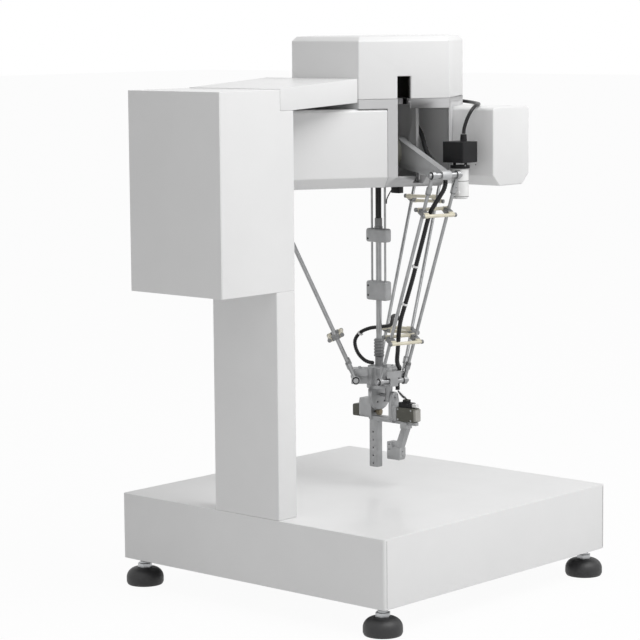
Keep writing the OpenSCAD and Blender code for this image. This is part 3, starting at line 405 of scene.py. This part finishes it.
def rod_span(key):
    """A rod pair's upper pivot, and how far its lower one is inwards and down from there."""
    tip = middle("arm_axle_" + key)
    reach = (tip.xy - AXIS.xy).length
    return tip, reach - PLATFORM_R, tip.z - PLATFORM_Z


def rod_matrix(key):
    """A rod pair's own frame: origin at its upper pivot, rods down -Z."""
    tip, inwards, down = rod_span(key)
    return (Matrix.Translation(tip) @ Matrix.Rotation(math.radians(ARM_ANGLES[key]), 4, "Z")
            @ Matrix.Rotation(math.atan2(inwards, down), 4, "Y"))


def rod_length():
    """The distance between a rod's two pivots."""
    return math.hypot(*rod_span("a")[1:])


# ---------- repeated parts ----------


def repeat_tree():
    """Geometry nodes that put a small part at every point, turned by its attribute."""
    name = "robot_repeat"
    if name in bpy.data.node_groups:
        return bpy.data.node_groups[name]
    tree = bpy.data.node_groups.new(name, "GeometryNodeTree")
    for socket, kind in (("Points", "Geometry"), ("Part", "Object"), ("Size", "Float"),
                         ("Finish", "Material")):
        tree.interface.new_socket(socket, in_out="INPUT", socket_type="NodeSocket" + kind)
    tree.interface.new_socket("Parts", in_out="OUTPUT", socket_type="NodeSocketGeometry")
    start = tree.nodes.new("NodeGroupInput")
    end = tree.nodes.new("NodeGroupOutput")
    part = tree.nodes.new("GeometryNodeObjectInfo")
    turn = tree.nodes.new("GeometryNodeInputNamedAttribute")
    turn.data_type = "FLOAT_VECTOR"
    turn.inputs["Name"].default_value = "turn"
    put = tree.nodes.new("GeometryNodeInstanceOnPoints")
    real = tree.nodes.new("GeometryNodeRealizeInstances")
    dress = tree.nodes.new("GeometryNodeSetMaterial")
    link = tree.links.new
    link(start.outputs["Points"], put.inputs["Points"])
    link(start.outputs["Part"], part.inputs["Object"])
    link(part.outputs["Geometry"], put.inputs["Instance"])
    link(turn.outputs["Attribute"], put.inputs["Rotation"])
    link(start.outputs["Size"], put.inputs["Scale"])
    link(put.outputs["Instances"], real.inputs["Geometry"])
    link(real.outputs["Geometry"], dress.inputs["Geometry"])
    link(start.outputs["Finish"], dress.inputs["Material"])
    link(dress.outputs["Geometry"], end.inputs["Parts"])
    return tree


def repeated(name, part_bm, matrices, finish, body):
    """Many copies of a small part, as one plain mesh that rides on a body."""
    part_mesh = bpy.data.meshes.new(name + "_part")
    part_bm.to_mesh(part_mesh)
    part_bm.free()
    smooth_by_angle(part_mesh)
    part = bpy.data.objects.new(name + "_part", part_mesh)
    bpy.context.scene.collection.objects.link(part)
    mesh = bpy.data.meshes.new(name)
    mesh.from_pydata([m.translation for m in matrices], [], [])
    turn = mesh.attributes.new("turn", "FLOAT_VECTOR", "POINT")
    for item, matrix in zip(turn.data, matrices):
        item.vector = matrix.to_euler("XYZ")
    points = bpy.data.objects.new(name + "_points", mesh)
    bpy.context.scene.collection.objects.link(points)
    modifier = points.modifiers.new("repeat", "NODES")
    modifier.node_group = repeat_tree()
    keys = {s.name: s.identifier for s in modifier.node_group.interface.items_tree
            if s.in_out == "INPUT"}
    modifier[keys["Part"]] = part
    modifier[keys["Size"]] = 1.0
    modifier[keys["Finish"]] = FINISHES[finish]
    bpy.context.view_layer.update()
    graph = bpy.context.evaluated_depsgraph_get()
    baked = bpy.data.meshes.new_from_object(points.evaluated_get(graph))
    points.modifiers.clear()
    bpy.data.objects.remove(points)
    bpy.data.objects.remove(part)
    if not baked.polygons:
        raise RuntimeError(f"{name}: the repeated parts came out empty")
    baked.materials.clear()
    baked.materials.append(FINISHES[finish])
    piece(name, baked, finish, body)


def socket_screw(head_d, head_h, sides=24):
    """A cap screw's head with a hexagonal recess, its seat at the origin."""
    bm = bmesh.new()
    r = head_d / 2
    chamfer = head_h * 0.15
    turned(bm, [(0.0, 0.0), (r, 0.0), (r, head_h - chamfer), (r - chamfer, head_h),
                (r * 0.6, head_h)], Matrix.Identity(4), sides)
    top = [v for v in bm.verts if abs(v.co.z - head_h) < 1e-7 and v.co.xy.length < r * 0.65]
    floor = []
    for i in range(sides):
        angle = 2 * math.pi * i / sides
        hexed = math.cos(math.pi / 6) / math.cos((angle % (math.pi / 3)) - math.pi / 6)
        floor.append((r * 0.5 * hexed, angle))
    lower = [bm.verts.new((q * math.cos(a), q * math.sin(a), head_h)) for q, a in floor]
    deep = [bm.verts.new((q * math.cos(a), q * math.sin(a), head_h * 0.45)) for q, a in floor]
    top.sort(key=lambda v: math.atan2(v.co.y, v.co.x) % (2 * math.pi))
    for i in range(sides):
        j = (i + 1) % sides
        bm.faces.new((top[i], top[j], lower[j], lower[i]))
        bm.faces.new((lower[i], lower[j], deep[j], deep[i]))
    bm.faces.new(deep)
    bmesh.ops.recalc_face_normals(bm, faces=bm.faces[:])
    return bm


def ring_part(radius, thickness, sides=20):
    """A thin ring with a half-round outside, its axis along Z."""
    bm = bmesh.new()
    turned(bm, [(radius - thickness, -thickness), (radius, -thickness * 0.6),
                (radius + thickness * 0.25, 0.0), (radius, thickness * 0.6),
                (radius - thickness, thickness)], Matrix.Identity(4), sides)
    return bm


# ---------- cords ----------


def smooth_route(points, steps):
    """A curve through the points, with steps stretches between each two."""
    points = [Vector(p) for p in points]
    points = [points[0] * 2 - points[1]] + points + [points[-1] * 2 - points[-2]]
    route = []
    for i in range(1, len(points) - 2):
        a, b, c, d = points[i - 1:i + 3]
        for s in range(steps):
            t = s / steps
            route.append(0.5 * (2 * b + (c - a) * t + (2 * a - 5 * b + 4 * c - d) * t * t
                                + (3 * b - a - 3 * c + d) * t * t * t))
    route.append(points[-2])
    return route


def frames_along(route):
    """A matrix at each point whose Z follows the route without twisting."""
    never_along = Vector((0.31, 0.22, 0.93))
    side = None
    result = []
    for i, here in enumerate(route):
        ahead = (route[min(i + 1, len(route) - 1)] - route[max(i - 1, 0)]).normalized()
        if side is None:
            side = ahead.cross(never_along).normalized()
        side = (side - ahead * side.dot(ahead)).normalized()
        up = ahead.cross(side)
        turn = Matrix((side, up, ahead)).transposed().to_4x4()
        result.append(Matrix.Translation(here) @ turn)
    return result


def tube(bm, route, radius, sides=16, wave=0.0, pitch=0.004):
    """Adds a tube along a route with closed ends; wave makes spiral ridges."""
    frames = frames_along(route)
    run = 0.0
    rings = []
    for i, matrix in enumerate(frames):
        if i:
            run += (route[i] - route[i - 1]).length
        ring = []
        for k in range(sides):
            angle = 2 * math.pi * k / sides
            r = radius - wave * (0.5 - 0.5 * math.cos(2 * math.pi * run / pitch + angle))
            ring.append(bm.verts.new(matrix @ Vector((r * math.cos(angle), r * math.sin(angle), 0.0))))
        rings.append(ring)
    for one, two in zip(rings, rings[1:]):
        for k in range(sides):
            j = (k + 1) % sides
            bm.faces.new((one[k], one[j], two[j], two[k]))
    bm.faces.new(rings[0][::-1])
    bm.faces.new(rings[-1])


def even_route(points, step):
    """The smooth curve through the points, cut into stretches of about one length."""
    fine = smooth_route(points, 24)
    total = sum((b - a).length for a, b in zip(fine, fine[1:]))
    count = max(2, round(total / step))
    route, run, goal = [fine[0]], 0.0, total / count
    for a, b in zip(fine, fine[1:]):
        stretch = (b - a).length
        while run + stretch >= goal * len(route) - 1e-9 and len(route) < count:
            t = (goal * len(route) - run) / stretch
            route.append(a.lerp(b, t))
        run += stretch
    route.append(fine[-1])
    return route


def placed(points, matrix):
    """A route's points, moved into the robot's place by a matrix."""
    return [matrix @ Vector(p) for p in points]


def hose(node, points, diameter, body, wave=0.0):
    """A black hose or cable along its route, with finer steps where it has ridges."""
    bm = bmesh.new()
    tube(bm, even_route(points, 0.0011 if wave else 0.002), diameter / 2, wave=wave)
    obj = piece(node + "_skin", bm, "hose_black", body, (node,))
    smooth_by_angle(obj.data, 50.0)


# ---------- properties ----------


class RobotSizes(bpy.types.PropertyGroup):
    cover_edge: bpy.props.FloatProperty(
        name="Cover edge", description="Rounding of the painted covers' edges",
        default=0.0016, min=0.0003, max=0.004, unit="LENGTH")
    metal_edge: bpy.props.FloatProperty(
        name="Metal edge", description="Rounding of the small metal pieces' edges",
        default=0.0005, min=0.0001, max=0.002, unit="LENGTH")
    hose_ridge: bpy.props.FloatProperty(
        name="Hose ridge", description="Height of the spiral ridges of the hoses",
        default=0.0005, min=0.0, max=0.001, unit="LENGTH")
    tie_width: bpy.props.FloatProperty(
        name="Tie width", description="Width of the cable ties on the hoses",
        default=0.0036, min=0.002, max=0.006, unit="LENGTH")
    thread_pitch: bpy.props.FloatProperty(
        name="Thread pitch", description="Pitch of the threads on the feet's stems",
        default=0.002, min=0.001, max=0.003, unit="LENGTH")


class RobotColors(bpy.types.PropertyGroup):
    white: bpy.props.FloatVectorProperty(
        name="White paint", description="Colour of the painted covers", subtype="COLOR",
        default=(0.80, 0.80, 0.80), min=0.0, max=1.0)
    grey: bpy.props.FloatVectorProperty(
        name="Grey paint", description="Colour of the head's frame", subtype="COLOR",
        default=(0.56, 0.56, 0.565), min=0.0, max=1.0)
    metal: bpy.props.FloatVectorProperty(
        name="Metal", description="Colour of the milled pieces", subtype="COLOR",
        default=(0.42, 0.425, 0.43), min=0.0, max=1.0)
    dark_metal: bpy.props.FloatVectorProperty(
        name="Dark metal", description="Colour of the shaft blocks and coupling", subtype="COLOR",
        default=(0.25, 0.253, 0.256), min=0.0, max=1.0)
    cream: bpy.props.FloatVectorProperty(
        name="Cream", description="Colour of the spring bars", subtype="COLOR",
        default=(0.70, 0.66, 0.53), min=0.0, max=1.0)


def sizes():
    return bpy.context.scene.delta_robot_sizes


def colors():
    return bpy.context.scene.delta_robot_colors


# ---------- operators ----------


class ROBOT_OT_viewpoint(bpy.types.Operator):
    """Places the camera"""
    bl_idname = "robot.viewpoint"
    bl_label = "Viewpoint"

    def execute(self, context):
        turn, tilt, roll = math.radians(42.0), math.radians(7.19), math.radians(-0.46)
        back = Vector((math.sin(turn) * math.cos(tilt), -math.cos(turn) * math.cos(tilt),
                       math.sin(tilt)))
        right = Vector((math.cos(turn), math.sin(turn), 0.0))
        up = back.cross(right)
        side = math.cos(roll) * right + math.sin(roll) * up
        top = math.cos(roll) * up - math.sin(roll) * right
        aim = Vector((-0.13909, AXIS.y, 0.28295 + BASE_TOP))
        distance = 4.301
        data = bpy.data.cameras.new("viewpoint")
        data.lens = 135.0
        data.sensor_width = 36.0
        data.clip_end = 100.0
        eye = bpy.data.objects.new("viewpoint", data)
        eye.matrix_world = (Matrix.Translation(aim + back * distance)
                            @ Matrix((side, top, back)).transposed().to_4x4())
        context.scene.collection.objects.link(eye)
        context.scene.camera = eye
        return {"FINISHED"}


class ROBOT_OT_cords(bpy.types.Operator):
    """Makes the hoses, leads and cables with their ties"""
    bl_idname = "robot.cords"
    bl_label = "Cords"

    def execute(self, context):
        arm = arm_matrix("a")
        here = Matrix.Translation(AXIS)
        ridge = sizes().hose_ridge
        along_rods = placed(ROD_HOSE, arm)
        branch = placed(BRANCH_HOSE, here)
        hose("arm_hose", placed(ARM_HOSE, arm), HOSE_D, "stand", wave=ridge)
        hose("rod_hose", along_rods, HOSE_D, "platform", wave=ridge)
        hose("branch_hose", branch, BRANCH_D, "platform", wave=ridge)
        hose("camera_cable", placed(CAMERA_CABLE, here), CAMERA_CABLE_D, "stand")
        hose("sensor_cable", placed(SENSOR_CABLE, here), SENSOR_CABLE_D, "stand")
        self.leads(here, "wrist_lead_skin", "hose_black", ((-0.0014, 0.0016), (0.0013, -0.0012)),
                   ("wrist_lead",), "black_plastic")
        self.leads(here, "wrist_leads_pale", "white_plastic", ((0.0, 0.0022), (-0.0016, -0.0006)),
                   (), "white_plastic")
        self.ties("rod_hose_ties", along_rods, HOSE_D / 2 + 0.0001, (0.437, 0.595))
        self.ties("branch_hose_ties", branch, BRANCH_D / 2 + 0.0001, (0.66,))
        return {"FINISHED"}

    def leads(self, matrix, name, finish, spreads, nodes, slot):
        """Thin leads that fan out between the hose's end and the plug"""
        bm = bmesh.new()
        last = len(WRIST_LEAD) - 1
        for along, up in spreads:
            route = [Vector(p) + Vector((along, 0.0, up)) * (0.35 + math.sin(math.pi * i / last))
                     for i, p in enumerate(WRIST_LEAD)]
            tube(bm, even_route(placed(route, matrix), 0.0015), LEAD_R, sides=10)
        lead = piece(name, bm, finish, "platform", nodes)
        smooth_by_angle(lead.data, 50.0)

    def ties(self, name, points, radius, places):
        """Cable ties with their heads, at places from 0 to 1 along a hose"""
        route = even_route(points, 0.002)
        frames = frames_along(route)
        half = sizes().tie_width / 2
        bm = bmesh.new()
        turned(bm, [(radius - 0.0006, -half), (radius + 0.0003, -half), (radius + 0.0005, 0.0),
                    (radius + 0.0003, half), (radius - 0.0006, half)], Matrix.Identity(4), 20)
        box_shape(bm, (radius - 0.0005, -0.002, -0.0022), (radius + 0.0028, 0.002, 0.0022), edge=0.0003)
        spots = [frames[round(p * (len(frames) - 1))] for p in places]
        repeated(name, bm, spots, "white_plastic", "platform")


class ROBOT_OT_covers(bpy.types.Operator):
    """Rounds and paints the base, post, cabinet, beam and head covers"""
    bl_idname = "robot.covers"
    bl_label = "Covers"

    def execute(self, context):
        edge = sizes().cover_edge
        housing_edge = 0.005
        edges = {
            "base_cover": edge, "post": edge, "cabinet": edge, "cabinet_cover": 0.0007, "beam": 0.0004,
            "head_cover": edge, "motor_housing_a": housing_edge, "motor_housing_b": housing_edge,
            "motor_housing_c": housing_edge,
        }
        for node, width in edges.items():
            softened(node, "white_paint", "stand", width, segments=4)
        softened("head_frame", "grey_paint", "stand", 0.0008)
        self.seams()
        return {"FINISHED"}

    def seams(self):
        """Fine dark joints where folded sheets meet at the base's upright edges"""
        low, high = corners("base_cover")
        bm = bmesh.new()
        half, inset, short = 0.0004, 0.0062, 0.003
        for x, y in ((high.x, low.y), (low.x, low.y), (high.x, high.y), (low.x, high.y)):
            seam_y = y - inset if y > 0 else y + inset
            left, right = (x - half, x) if x > 0 else (x, x + half)
            box_shape(bm, (left, seam_y - half, low.z + short), (right, seam_y + half, high.z - short))
        piece("base_seams", bm, "dark_joint_and_hole_shade", "stand")


class ROBOT_OT_feet(bpy.types.Operator):
    """Dresses the levelling feet with threads and domed rubber pads"""
    bl_idname = "robot.feet"
    bl_label = "Levelling feet"

    def execute(self, context):
        pitch = sizes().thread_pitch
        for key in "abcd":
            body = "foot_" + key
            self.pad(key, body)
            softened("foot_stem_" + key, "zinc", body, 0.0005)
            at = middle("foot_stem_" + key)
            first, last = 0.0405, BASE_BOTTOM - 0.001
            turns = [Matrix.Translation((at.x, at.y, first + i * pitch))
                     for i in range(int((last - first) / pitch) + 1)]
            ridge = ring_part(0.0082, pitch * 0.42, 28)
            repeated("foot_thread_" + key, ridge, turns, "zinc", body)
        return {"FINISHED"}

    def pad(self, key, body):
        """A domed rubber pad with a flat foot and a collar round the stem"""
        low, high = corners("foot_pad_" + key)
        radius = (high.x - low.x) / 2
        height, neck, ledge, steps = 0.035, 0.011, 0.003, 8
        dome = [(0.0, 0.0), (radius * 0.93, 0.0), (radius * 0.97, height * 0.06),
                (radius, height * 0.13), (radius, height * 0.34)]
        for i in range(1, steps + 1):
            a = math.pi / 2 * i / steps
            dome.append((neck + ledge + (radius - neck - ledge) * math.cos(a),
                         height * (0.34 + 0.5 * math.sin(a))))
        dome += [(neck, height * 0.86), (neck, height - 0.0006), (neck - 0.0006, height),
                 (0.0, height)]
        place = Matrix.Translation(((low.x + high.x) / 2, (low.y + high.y) / 2, low.z))
        bm = lathed(dome, place, 56)
        obj = piece("foot_pad_skin_" + key, bm, "rubber", body, ("foot_pad_" + key,))
        smooth_by_angle(obj.data, 35.0)


class ROBOT_OT_linkage(bpy.types.Operator):
    """Dresses the arms, rods and spring bars"""
    bl_idname = "robot.linkage"
    bl_label = "Arms and rods"

    def execute(self, context):
        edge = sizes().metal_edge
        length = rod_length()
        for key in "abc":
            arm, rods = "arm_" + key, "rods_" + key
            softened("upper_arm_" + key, "cast", arm, edge)
            softened("arm_axle_" + key, "turned", arm, 0.0)
            softened("rod_pair_" + key, "turned", rods, 0.0)
            softened("spring_bars_" + key, "cream", rods, edge)
            pair = rod_matrix(key)
            face = ROD_SPACING / 2 + 0.003
            liners, heads, low_heads = [], [], []
            for side in (-1, 1):
                out = Matrix.Rotation(math.radians(-90 * side), 4, "X")
                liners.append(pair @ Matrix.Translation((0, side * face, 0)) @ out)
                liners.append(pair @ Matrix.Translation((0, side * face, -length)) @ out)
                heads.append(pair @ Matrix.Translation((0, side * (face + 0.0033), 0)) @ out)
                low_heads.append(pair @ Matrix.Translation((0, side * (face + 0.003), -length)) @ out)
            bm = bmesh.new()
            turned(bm, [(0.0046, 0.0), (0.0066, 0.0), (0.0063, 0.0005), (0.0048, 0.0004),
                        (0.0046, 0.0)], Matrix.Identity(4), 28)
            repeated("eye_liners_" + key, bm, liners, "black_plastic", rods)
            pin_d, pin_h = 0.0085, 0.0012
            repeated("upper_screws_" + key, socket_screw(pin_d, pin_h), heads, "turned", arm)
            repeated("lower_screws_" + key, socket_screw(pin_d, pin_h), low_heads, "turned", rods)
            self.clamp_ends(key, pair, length)
            self.collars(key, pair, length)
        return {"FINISHED"}

    def clamp_ends(self, key, pair, length):
        """Dark caps on the ends of the spring bars and dark clamps on the rods"""
        half = ROD_SPACING / 2
        bm = bmesh.new()
        cap = [(0.0, -0.0018), (0.0036, -0.0018), (0.0038, 0.0), (0.0036, 0.0018), (0.0, 0.0018)]
        for z in (-TOP_BAR, LOW_BAR - length):
            for x in (-BAR_REACH, BAR_REACH):
                for side in (-1, 1):
                    y = side * (half + 0.0072)
                    turned(bm, cap, pair @ Matrix.Translation((x, y, z)) @ ABOUT_X, 20)
            for side in (-1, 1):
                box_shape(bm, (-0.0075, side * half - 0.0052, z - 0.0046),
                          (0.0075, side * half + 0.0052, z + 0.0046), pair, edge=0.0008)
        bmesh.ops.recalc_face_normals(bm, faces=bm.faces[:])
        obj = piece("spring_clamps_" + key, bm, "anodised_dark", "rods_" + key)
        smooth_by_angle(obj.data)

    def collars(self, key, pair, length):
        """A dark lock ring at each rod end"""
        bm = bmesh.new()
        half = ROD_SPACING / 2
        ring = [(0.003, -0.0016), (0.0046, -0.0016), (0.0048, 0.0), (0.0046, 0.0016), (0.003, 0.0016)]
        for side in (-1, 1):
            for z in (-LOCK_RING, LOCK_RING - length):
                turned(bm, ring, pair @ Matrix.Translation((0, side * half, z)), 20)
        bmesh.ops.recalc_face_normals(bm, faces=bm.faces[:])
        obj = piece("rod_lock_rings_" + key, bm, "anodised_dark", "rods_" + key)
        smooth_by_angle(obj.data)


class ROBOT_OT_platform(bpy.types.Operator):
    """Dresses the platform and its axles"""
    bl_idname = "robot.platform"
    bl_label = "Platform"

    def execute(self, context):
        edge = sizes().metal_edge
        softened("platform", "milled", "platform", edge)
        softened("platform_axles", "turned", "platform", 0.0)
        top = PLATFORM_Z + 0.018
        reach = 0.034
        spots = []
        for angle in ARM_ANGLES.values():
            a = math.radians(angle)
            for side in (-0.009, 0.009):
                x = reach * math.cos(a) - side * math.sin(a)
                y = reach * math.sin(a) + side * math.cos(a)
                spots.append(Matrix.Translation((AXIS.x + x, AXIS.y + y, top)))
        repeated("platform_screws", socket_screw(0.0055, 0.002), spots, "zinc", "platform")
        return {"FINISHED"}


class ROBOT_OT_shaft(bpy.types.Operator):
    """Dresses the turning shaft"""
    bl_idname = "robot.shaft"
    bl_label = "Turning shaft"

    def execute(self, context):
        edge = sizes().metal_edge
        softened("shaft_yoke", "milled", "shaft", edge)
        softened("guide_rods", "turned", "shaft", 0.0)
        self.block("guide_block", "shaft", (-0.25, 0.25))
        self.block("slide_block", "wrist", (-0.25,))
        softened("sliding_shaft", "turned", "wrist", 0.0)
        self.tube_and_collar()
        softened("shaft_coupling", "anodised_dark", "wrist", 0.0)
        return {"FINISHED"}

    def block(self, node, body, rows):
        """A guide block with rounded corners, and a column of screw holes drawn as near-black discs of
        painted shade
        """
        low, high = corners(node)
        bm = bmesh.new()
        box_shape(bm, low, high, edge=0.0042, segments=4)
        shell = piece(node + "_skin", bm, "anodised_grey", body, (node,))
        smooth_by_angle(shell.data, 30.0)
        mid = (low + high) / 2
        holes = [Matrix.Translation((low.x + 0.006, low.y, mid.z + row * (high.z - low.z)))
                 @ ABOUT_X for row in rows]
        # Each hole is a near-black disc just proud of the block's face: painted shade standing in for
        # the shadowed inside of the hole
        hole = lathed([(0.0, 0.0001), (0.0019, 0.0001), (0.0019, -0.001), (0.0, -0.001)], sides=20)
        repeated(node + "_holes", hole, holes, "dark_joint_and_hole_shade", body)

    def tube_and_collar(self):
        """The black cable tube, held in a grey collar on the sliding block"""
        low, high = corners("cable_tube")
        mid = (low + high) / 2
        upright = Matrix.Translation((mid.x, mid.y, 0.0))
        radius, grip, collar, lip = 0.0052, 0.0066, 0.018, 0.0008
        bm = lathed([(0.0, low.z + 0.001), (radius, low.z + 0.001), (radius, high.z), (0.0, high.z)],
                    upright, 28)
        skin = piece("cable_tube_skin", bm, "hose_black", "wrist", ("cable_tube",))
        smooth_by_angle(skin.data)
        bm = lathed([(0.0, low.z), (grip + lip, low.z), (grip + lip, low.z + 0.003),
                     (grip, low.z + 0.0034), (grip, low.z + collar - lip),
                     (grip - lip, low.z + collar), (0.0, low.z + collar)], upright)
        sleeve = piece("cable_tube_collar", bm, "anodised_dark", "wrist")
        smooth_by_angle(sleeve.data)


class ROBOT_OT_wrist(bpy.types.Operator):
    """Dresses the wrist, its motors and the gripper"""
    bl_idname = "robot.wrist"
    bl_label = "Wrist and gripper"

    def execute(self, context):
        edge = sizes().metal_edge
        softened("wrist_sector", "milled", "wrist", 0.0)
        softened("tilt_frame", "milled", "hand", edge)
        softened("tilt_motor", "motor_black", "hand", edge)
        softened("grip_motor", "motor_black", "hand", edge)
        softened("fixed_finger", "milled", "hand", edge)
        softened("tilt_pinion", "brass", "pinion", 0.0)
        softened("jaw_finger", "milled", "jaw", edge)
        self.grip_motor()
        return {"FINISHED"}

    def grip_motor(self):
        """The gripper motor's pale end cap, its sockets with a plug, and its screws"""
        low, high = corners("grip_motor")
        bm = bmesh.new()
        box_shape(bm, (high.x - 0.0046, low.y + 0.0014, low.z + 0.0014),
                  (high.x + 0.0001, high.y - 0.0014, low.z + 0.0226), edge=0.0009)
        piece("grip_motor_cap", bm, "pale_grey_plastic", "hand")
        body_top = high.z - 0.014
        mid_y = (low.y + high.y) / 2
        bm = bmesh.new()
        box_shape(bm, (low.x + 0.0025, low.y + 0.0015, body_top),
                  (high.x - 0.0105, high.y - 0.0015, body_top + 0.0092), edge=0.0014)
        box_shape(bm, (low.x + 0.0095, mid_y - 0.0045, body_top + 0.0075),
                  (low.x + 0.0205, mid_y + 0.0065, high.z), edge=0.0018)
        piece("grip_motor_sockets", bm, "black_plastic", "hand")
        bm = bmesh.new()
        box_shape(bm, (high.x - 0.0115, mid_y - 0.004, body_top + 0.002),
                  (high.x - 0.001, mid_y + 0.004, body_top + 0.008), edge=0.001)
        piece("grip_motor_plug", bm, "white_plastic", "hand")
        spots = [Matrix.Translation((low.x + dx, low.y, low.z + dz)) @ ABOUT_X
                 for dx in (0.003, 0.032) for dz in (0.003, 0.021)]
        repeated("grip_motor_screws", socket_screw(0.0032, 0.0008), spots, "zinc", "hand")


class ROBOT_OT_vision(bpy.types.Operator):
    """Dresses the vision camera, its lens and the small sensor"""
    bl_idname = "robot.vision"
    bl_label = "Vision camera"

    def execute(self, context):
        softened("vision_camera", "black_plastic", "stand", 0.0006)
        softened("camera_bracket", "milled", "stand", 0.0006)
        softened("home_sensor", "black_plastic", "stand", 0.0006)
        softened("camera_lens", "white_plastic", "lens", 0.0005)
        lens_bottom = corners("camera_lens")[0].z
        low, high = corners("vision_camera")
        mid_x, mid_y = (low.x + high.x) / 2, (low.y + high.y) / 2
        rings = [Matrix.Translation((mid_x, mid_y, lens_bottom + dz)) for dz in (0.004, 0.030)]
        repeated("lens_bands", ring_part(0.0146, 0.0006, 40), rings, "black_plastic", "lens")
        bm = lathed([(0.0, 0.0012), (0.006, 0.0006), (0.0105, 0.0), (0.0, 0.0)],
                    spot((mid_x, mid_y, lens_bottom + 0.0001), (0, 0, 1)))
        piece("lens_glass", bm, "lens_glass", "lens")
        inset = 0.006
        holes = [Matrix.Translation((high.x, y, low.z + inset)) @ ABOUT_Y
                 for y in (low.y + inset, high.y - inset)]
        repeated("camera_screws", socket_screw(0.003, 0.0005), holes, "anodised_dark", "stand")
        gland_x, gland_y, _ = CAMERA_CABLE[0]
        nut = [Matrix.Translation((AXIS.x + gland_x, AXIS.y + gland_y, high.z - h))
               for h in (0.003, 0.0055, 0.008)]
        repeated("gland_ridges", ring_part(0.0056, 0.0007, 24), nut, "black_plastic", "stand")
        return {"FINISHED"}


class ROBOT_OT_inside(bpy.types.Operator):
    """Finishes the pieces inside the base, cabinet and head"""
    bl_idname = "robot.inside"
    bl_label = "Inner pieces"

    def execute(self, context):
        softened("base_frame", "grey_paint", "stand", 0.0006)
        softened("control_units", "motor_black", "stand", 0.0012)
        softened("drive_motors", "motor_black", "stand", 0.0008)
        return {"FINISHED"}


class ROBOT_OT_stage(bpy.types.Operator):
    """Makes the floor, the lamps and the plain background"""
    bl_idname = "robot.stage"
    bl_label = "Stage"

    def execute(self, context):
        scene = context.scene
        scene.view_settings.view_transform = "Standard"
        self.floor()
        self.background(scene)
        self.lamp("key_lamp", place=Vector((1.95, 0.15, 3.0)), size=2.2, power=72.0)
        self.lamp("fill_lamp", place=Vector((-1.2, -3.2, 2.4)), size=2.4, power=4.0)
        return {"FINISHED"}

    def floor(self):
        """A wide flat floor, which isn't part of the robot"""
        bm = bmesh.new()
        bmesh.ops.create_grid(bm, x_segments=1, y_segments=1, size=30.0)
        ground = piece("floor", bm, "floor_white")

    def background(self, scene):
        """A white world that lights the robot softly"""
        world = bpy.data.worlds.new("studio")
        scene.world = world
        world.use_nodes = True
        tree = world.node_tree
        sky = tree.nodes["Background"]
        sky.inputs["Color"].default_value = (1.0, 1.0, 1.0, 1.0)
        soft_light = 0.42
        feed(tree, sky.inputs["Strength"], soft_light + directly_seen(tree) * (1.0 - soft_light))

    def lamp(self, name, place, size, power):
        """A square lamp that faces the middle of the robot"""
        data = bpy.data.lights.new(name, "AREA")
        data.size = size
        data.energy = power
        lamp = bpy.data.objects.new(name, data)
        aim = Vector((0.0, 0.0, 0.45))
        lamp.matrix_world = spot(place, place - aim)
        bpy.context.scene.collection.objects.link(lamp)


def directly_seen(tree):
    """1 for what the camera sees directly, in a reflection or through glass"""
    path = tree.nodes.new("ShaderNodeLightPath")
    camera, glossy, clear = (Value(tree, path.outputs["Is " + ray + " Ray"])
                             for ray in ("Camera", "Glossy", "Transmission"))
    return camera + glossy + clear


def floor_finish():
    """A pale floor that shows white to the camera and keeps a soft shadow"""
    ground = Finish("floor_white", (0.86, 0.86, 0.86), 0.7)
    tree = ground.tree
    ground.roughen(0.65 + ground.noise(6.0) * 0.1)
    glow = tree.nodes.new("ShaderNodeEmission")
    glow.inputs["Color"].default_value = (1.0, 1.0, 1.0, 1.0)
    mix = tree.nodes.new("ShaderNodeMixShader")
    feed(tree, mix.inputs[0], directly_seen(tree) * 0.95)
    tree.links.new(ground.shader.outputs[0], mix.inputs[1])
    tree.links.new(glow.outputs[0], mix.inputs[2])
    tree.links.new(mix.outputs[0], tree.nodes["Material Output"].inputs[0])


class ROBOT_PT_panel(bpy.types.Panel):
    bl_idname = "ROBOT_PT_panel"
    bl_label = "Delta robot"
    bl_space_type = "VIEW_3D"
    bl_region_type = "UI"
    bl_category = "Delta robot"

    def draw(self, context):
        for group in (context.scene.delta_robot_sizes, context.scene.delta_robot_colors):
            box = self.layout.box()
            for key in group.bl_rna.properties.keys():
                if key not in ("rna_type", "name"):
                    box.prop(group, key)
        for operator in STEPS:
            self.layout.operator(operator.bl_idname)


STEPS = (
    ROBOT_OT_viewpoint, ROBOT_OT_cords, ROBOT_OT_covers, ROBOT_OT_feet, ROBOT_OT_linkage,
    ROBOT_OT_platform, ROBOT_OT_shaft, ROBOT_OT_wrist, ROBOT_OT_vision, ROBOT_OT_inside,
    ROBOT_OT_stage,
)
CLASSES = (RobotSizes, RobotColors) + STEPS + (ROBOT_PT_panel,)


def register():
    for cls in CLASSES:
        bpy.utils.register_class(cls)
    bpy.types.Scene.delta_robot_sizes = bpy.props.PointerProperty(type=RobotSizes)
    bpy.types.Scene.delta_robot_colors = bpy.props.PointerProperty(type=RobotColors)


def unregister():
    del bpy.types.Scene.delta_robot_colors
    del bpy.types.Scene.delta_robot_sizes
    for cls in reversed(CLASSES):
        bpy.utils.unregister_class(cls)


def main():
    register()
    make_finishes(colors())
    floor_finish()
    for step in STEPS:
        group, name = step.bl_idname.split(".")
        getattr(getattr(bpy.ops, group), name)()


if __name__ == "__main__":
    main()
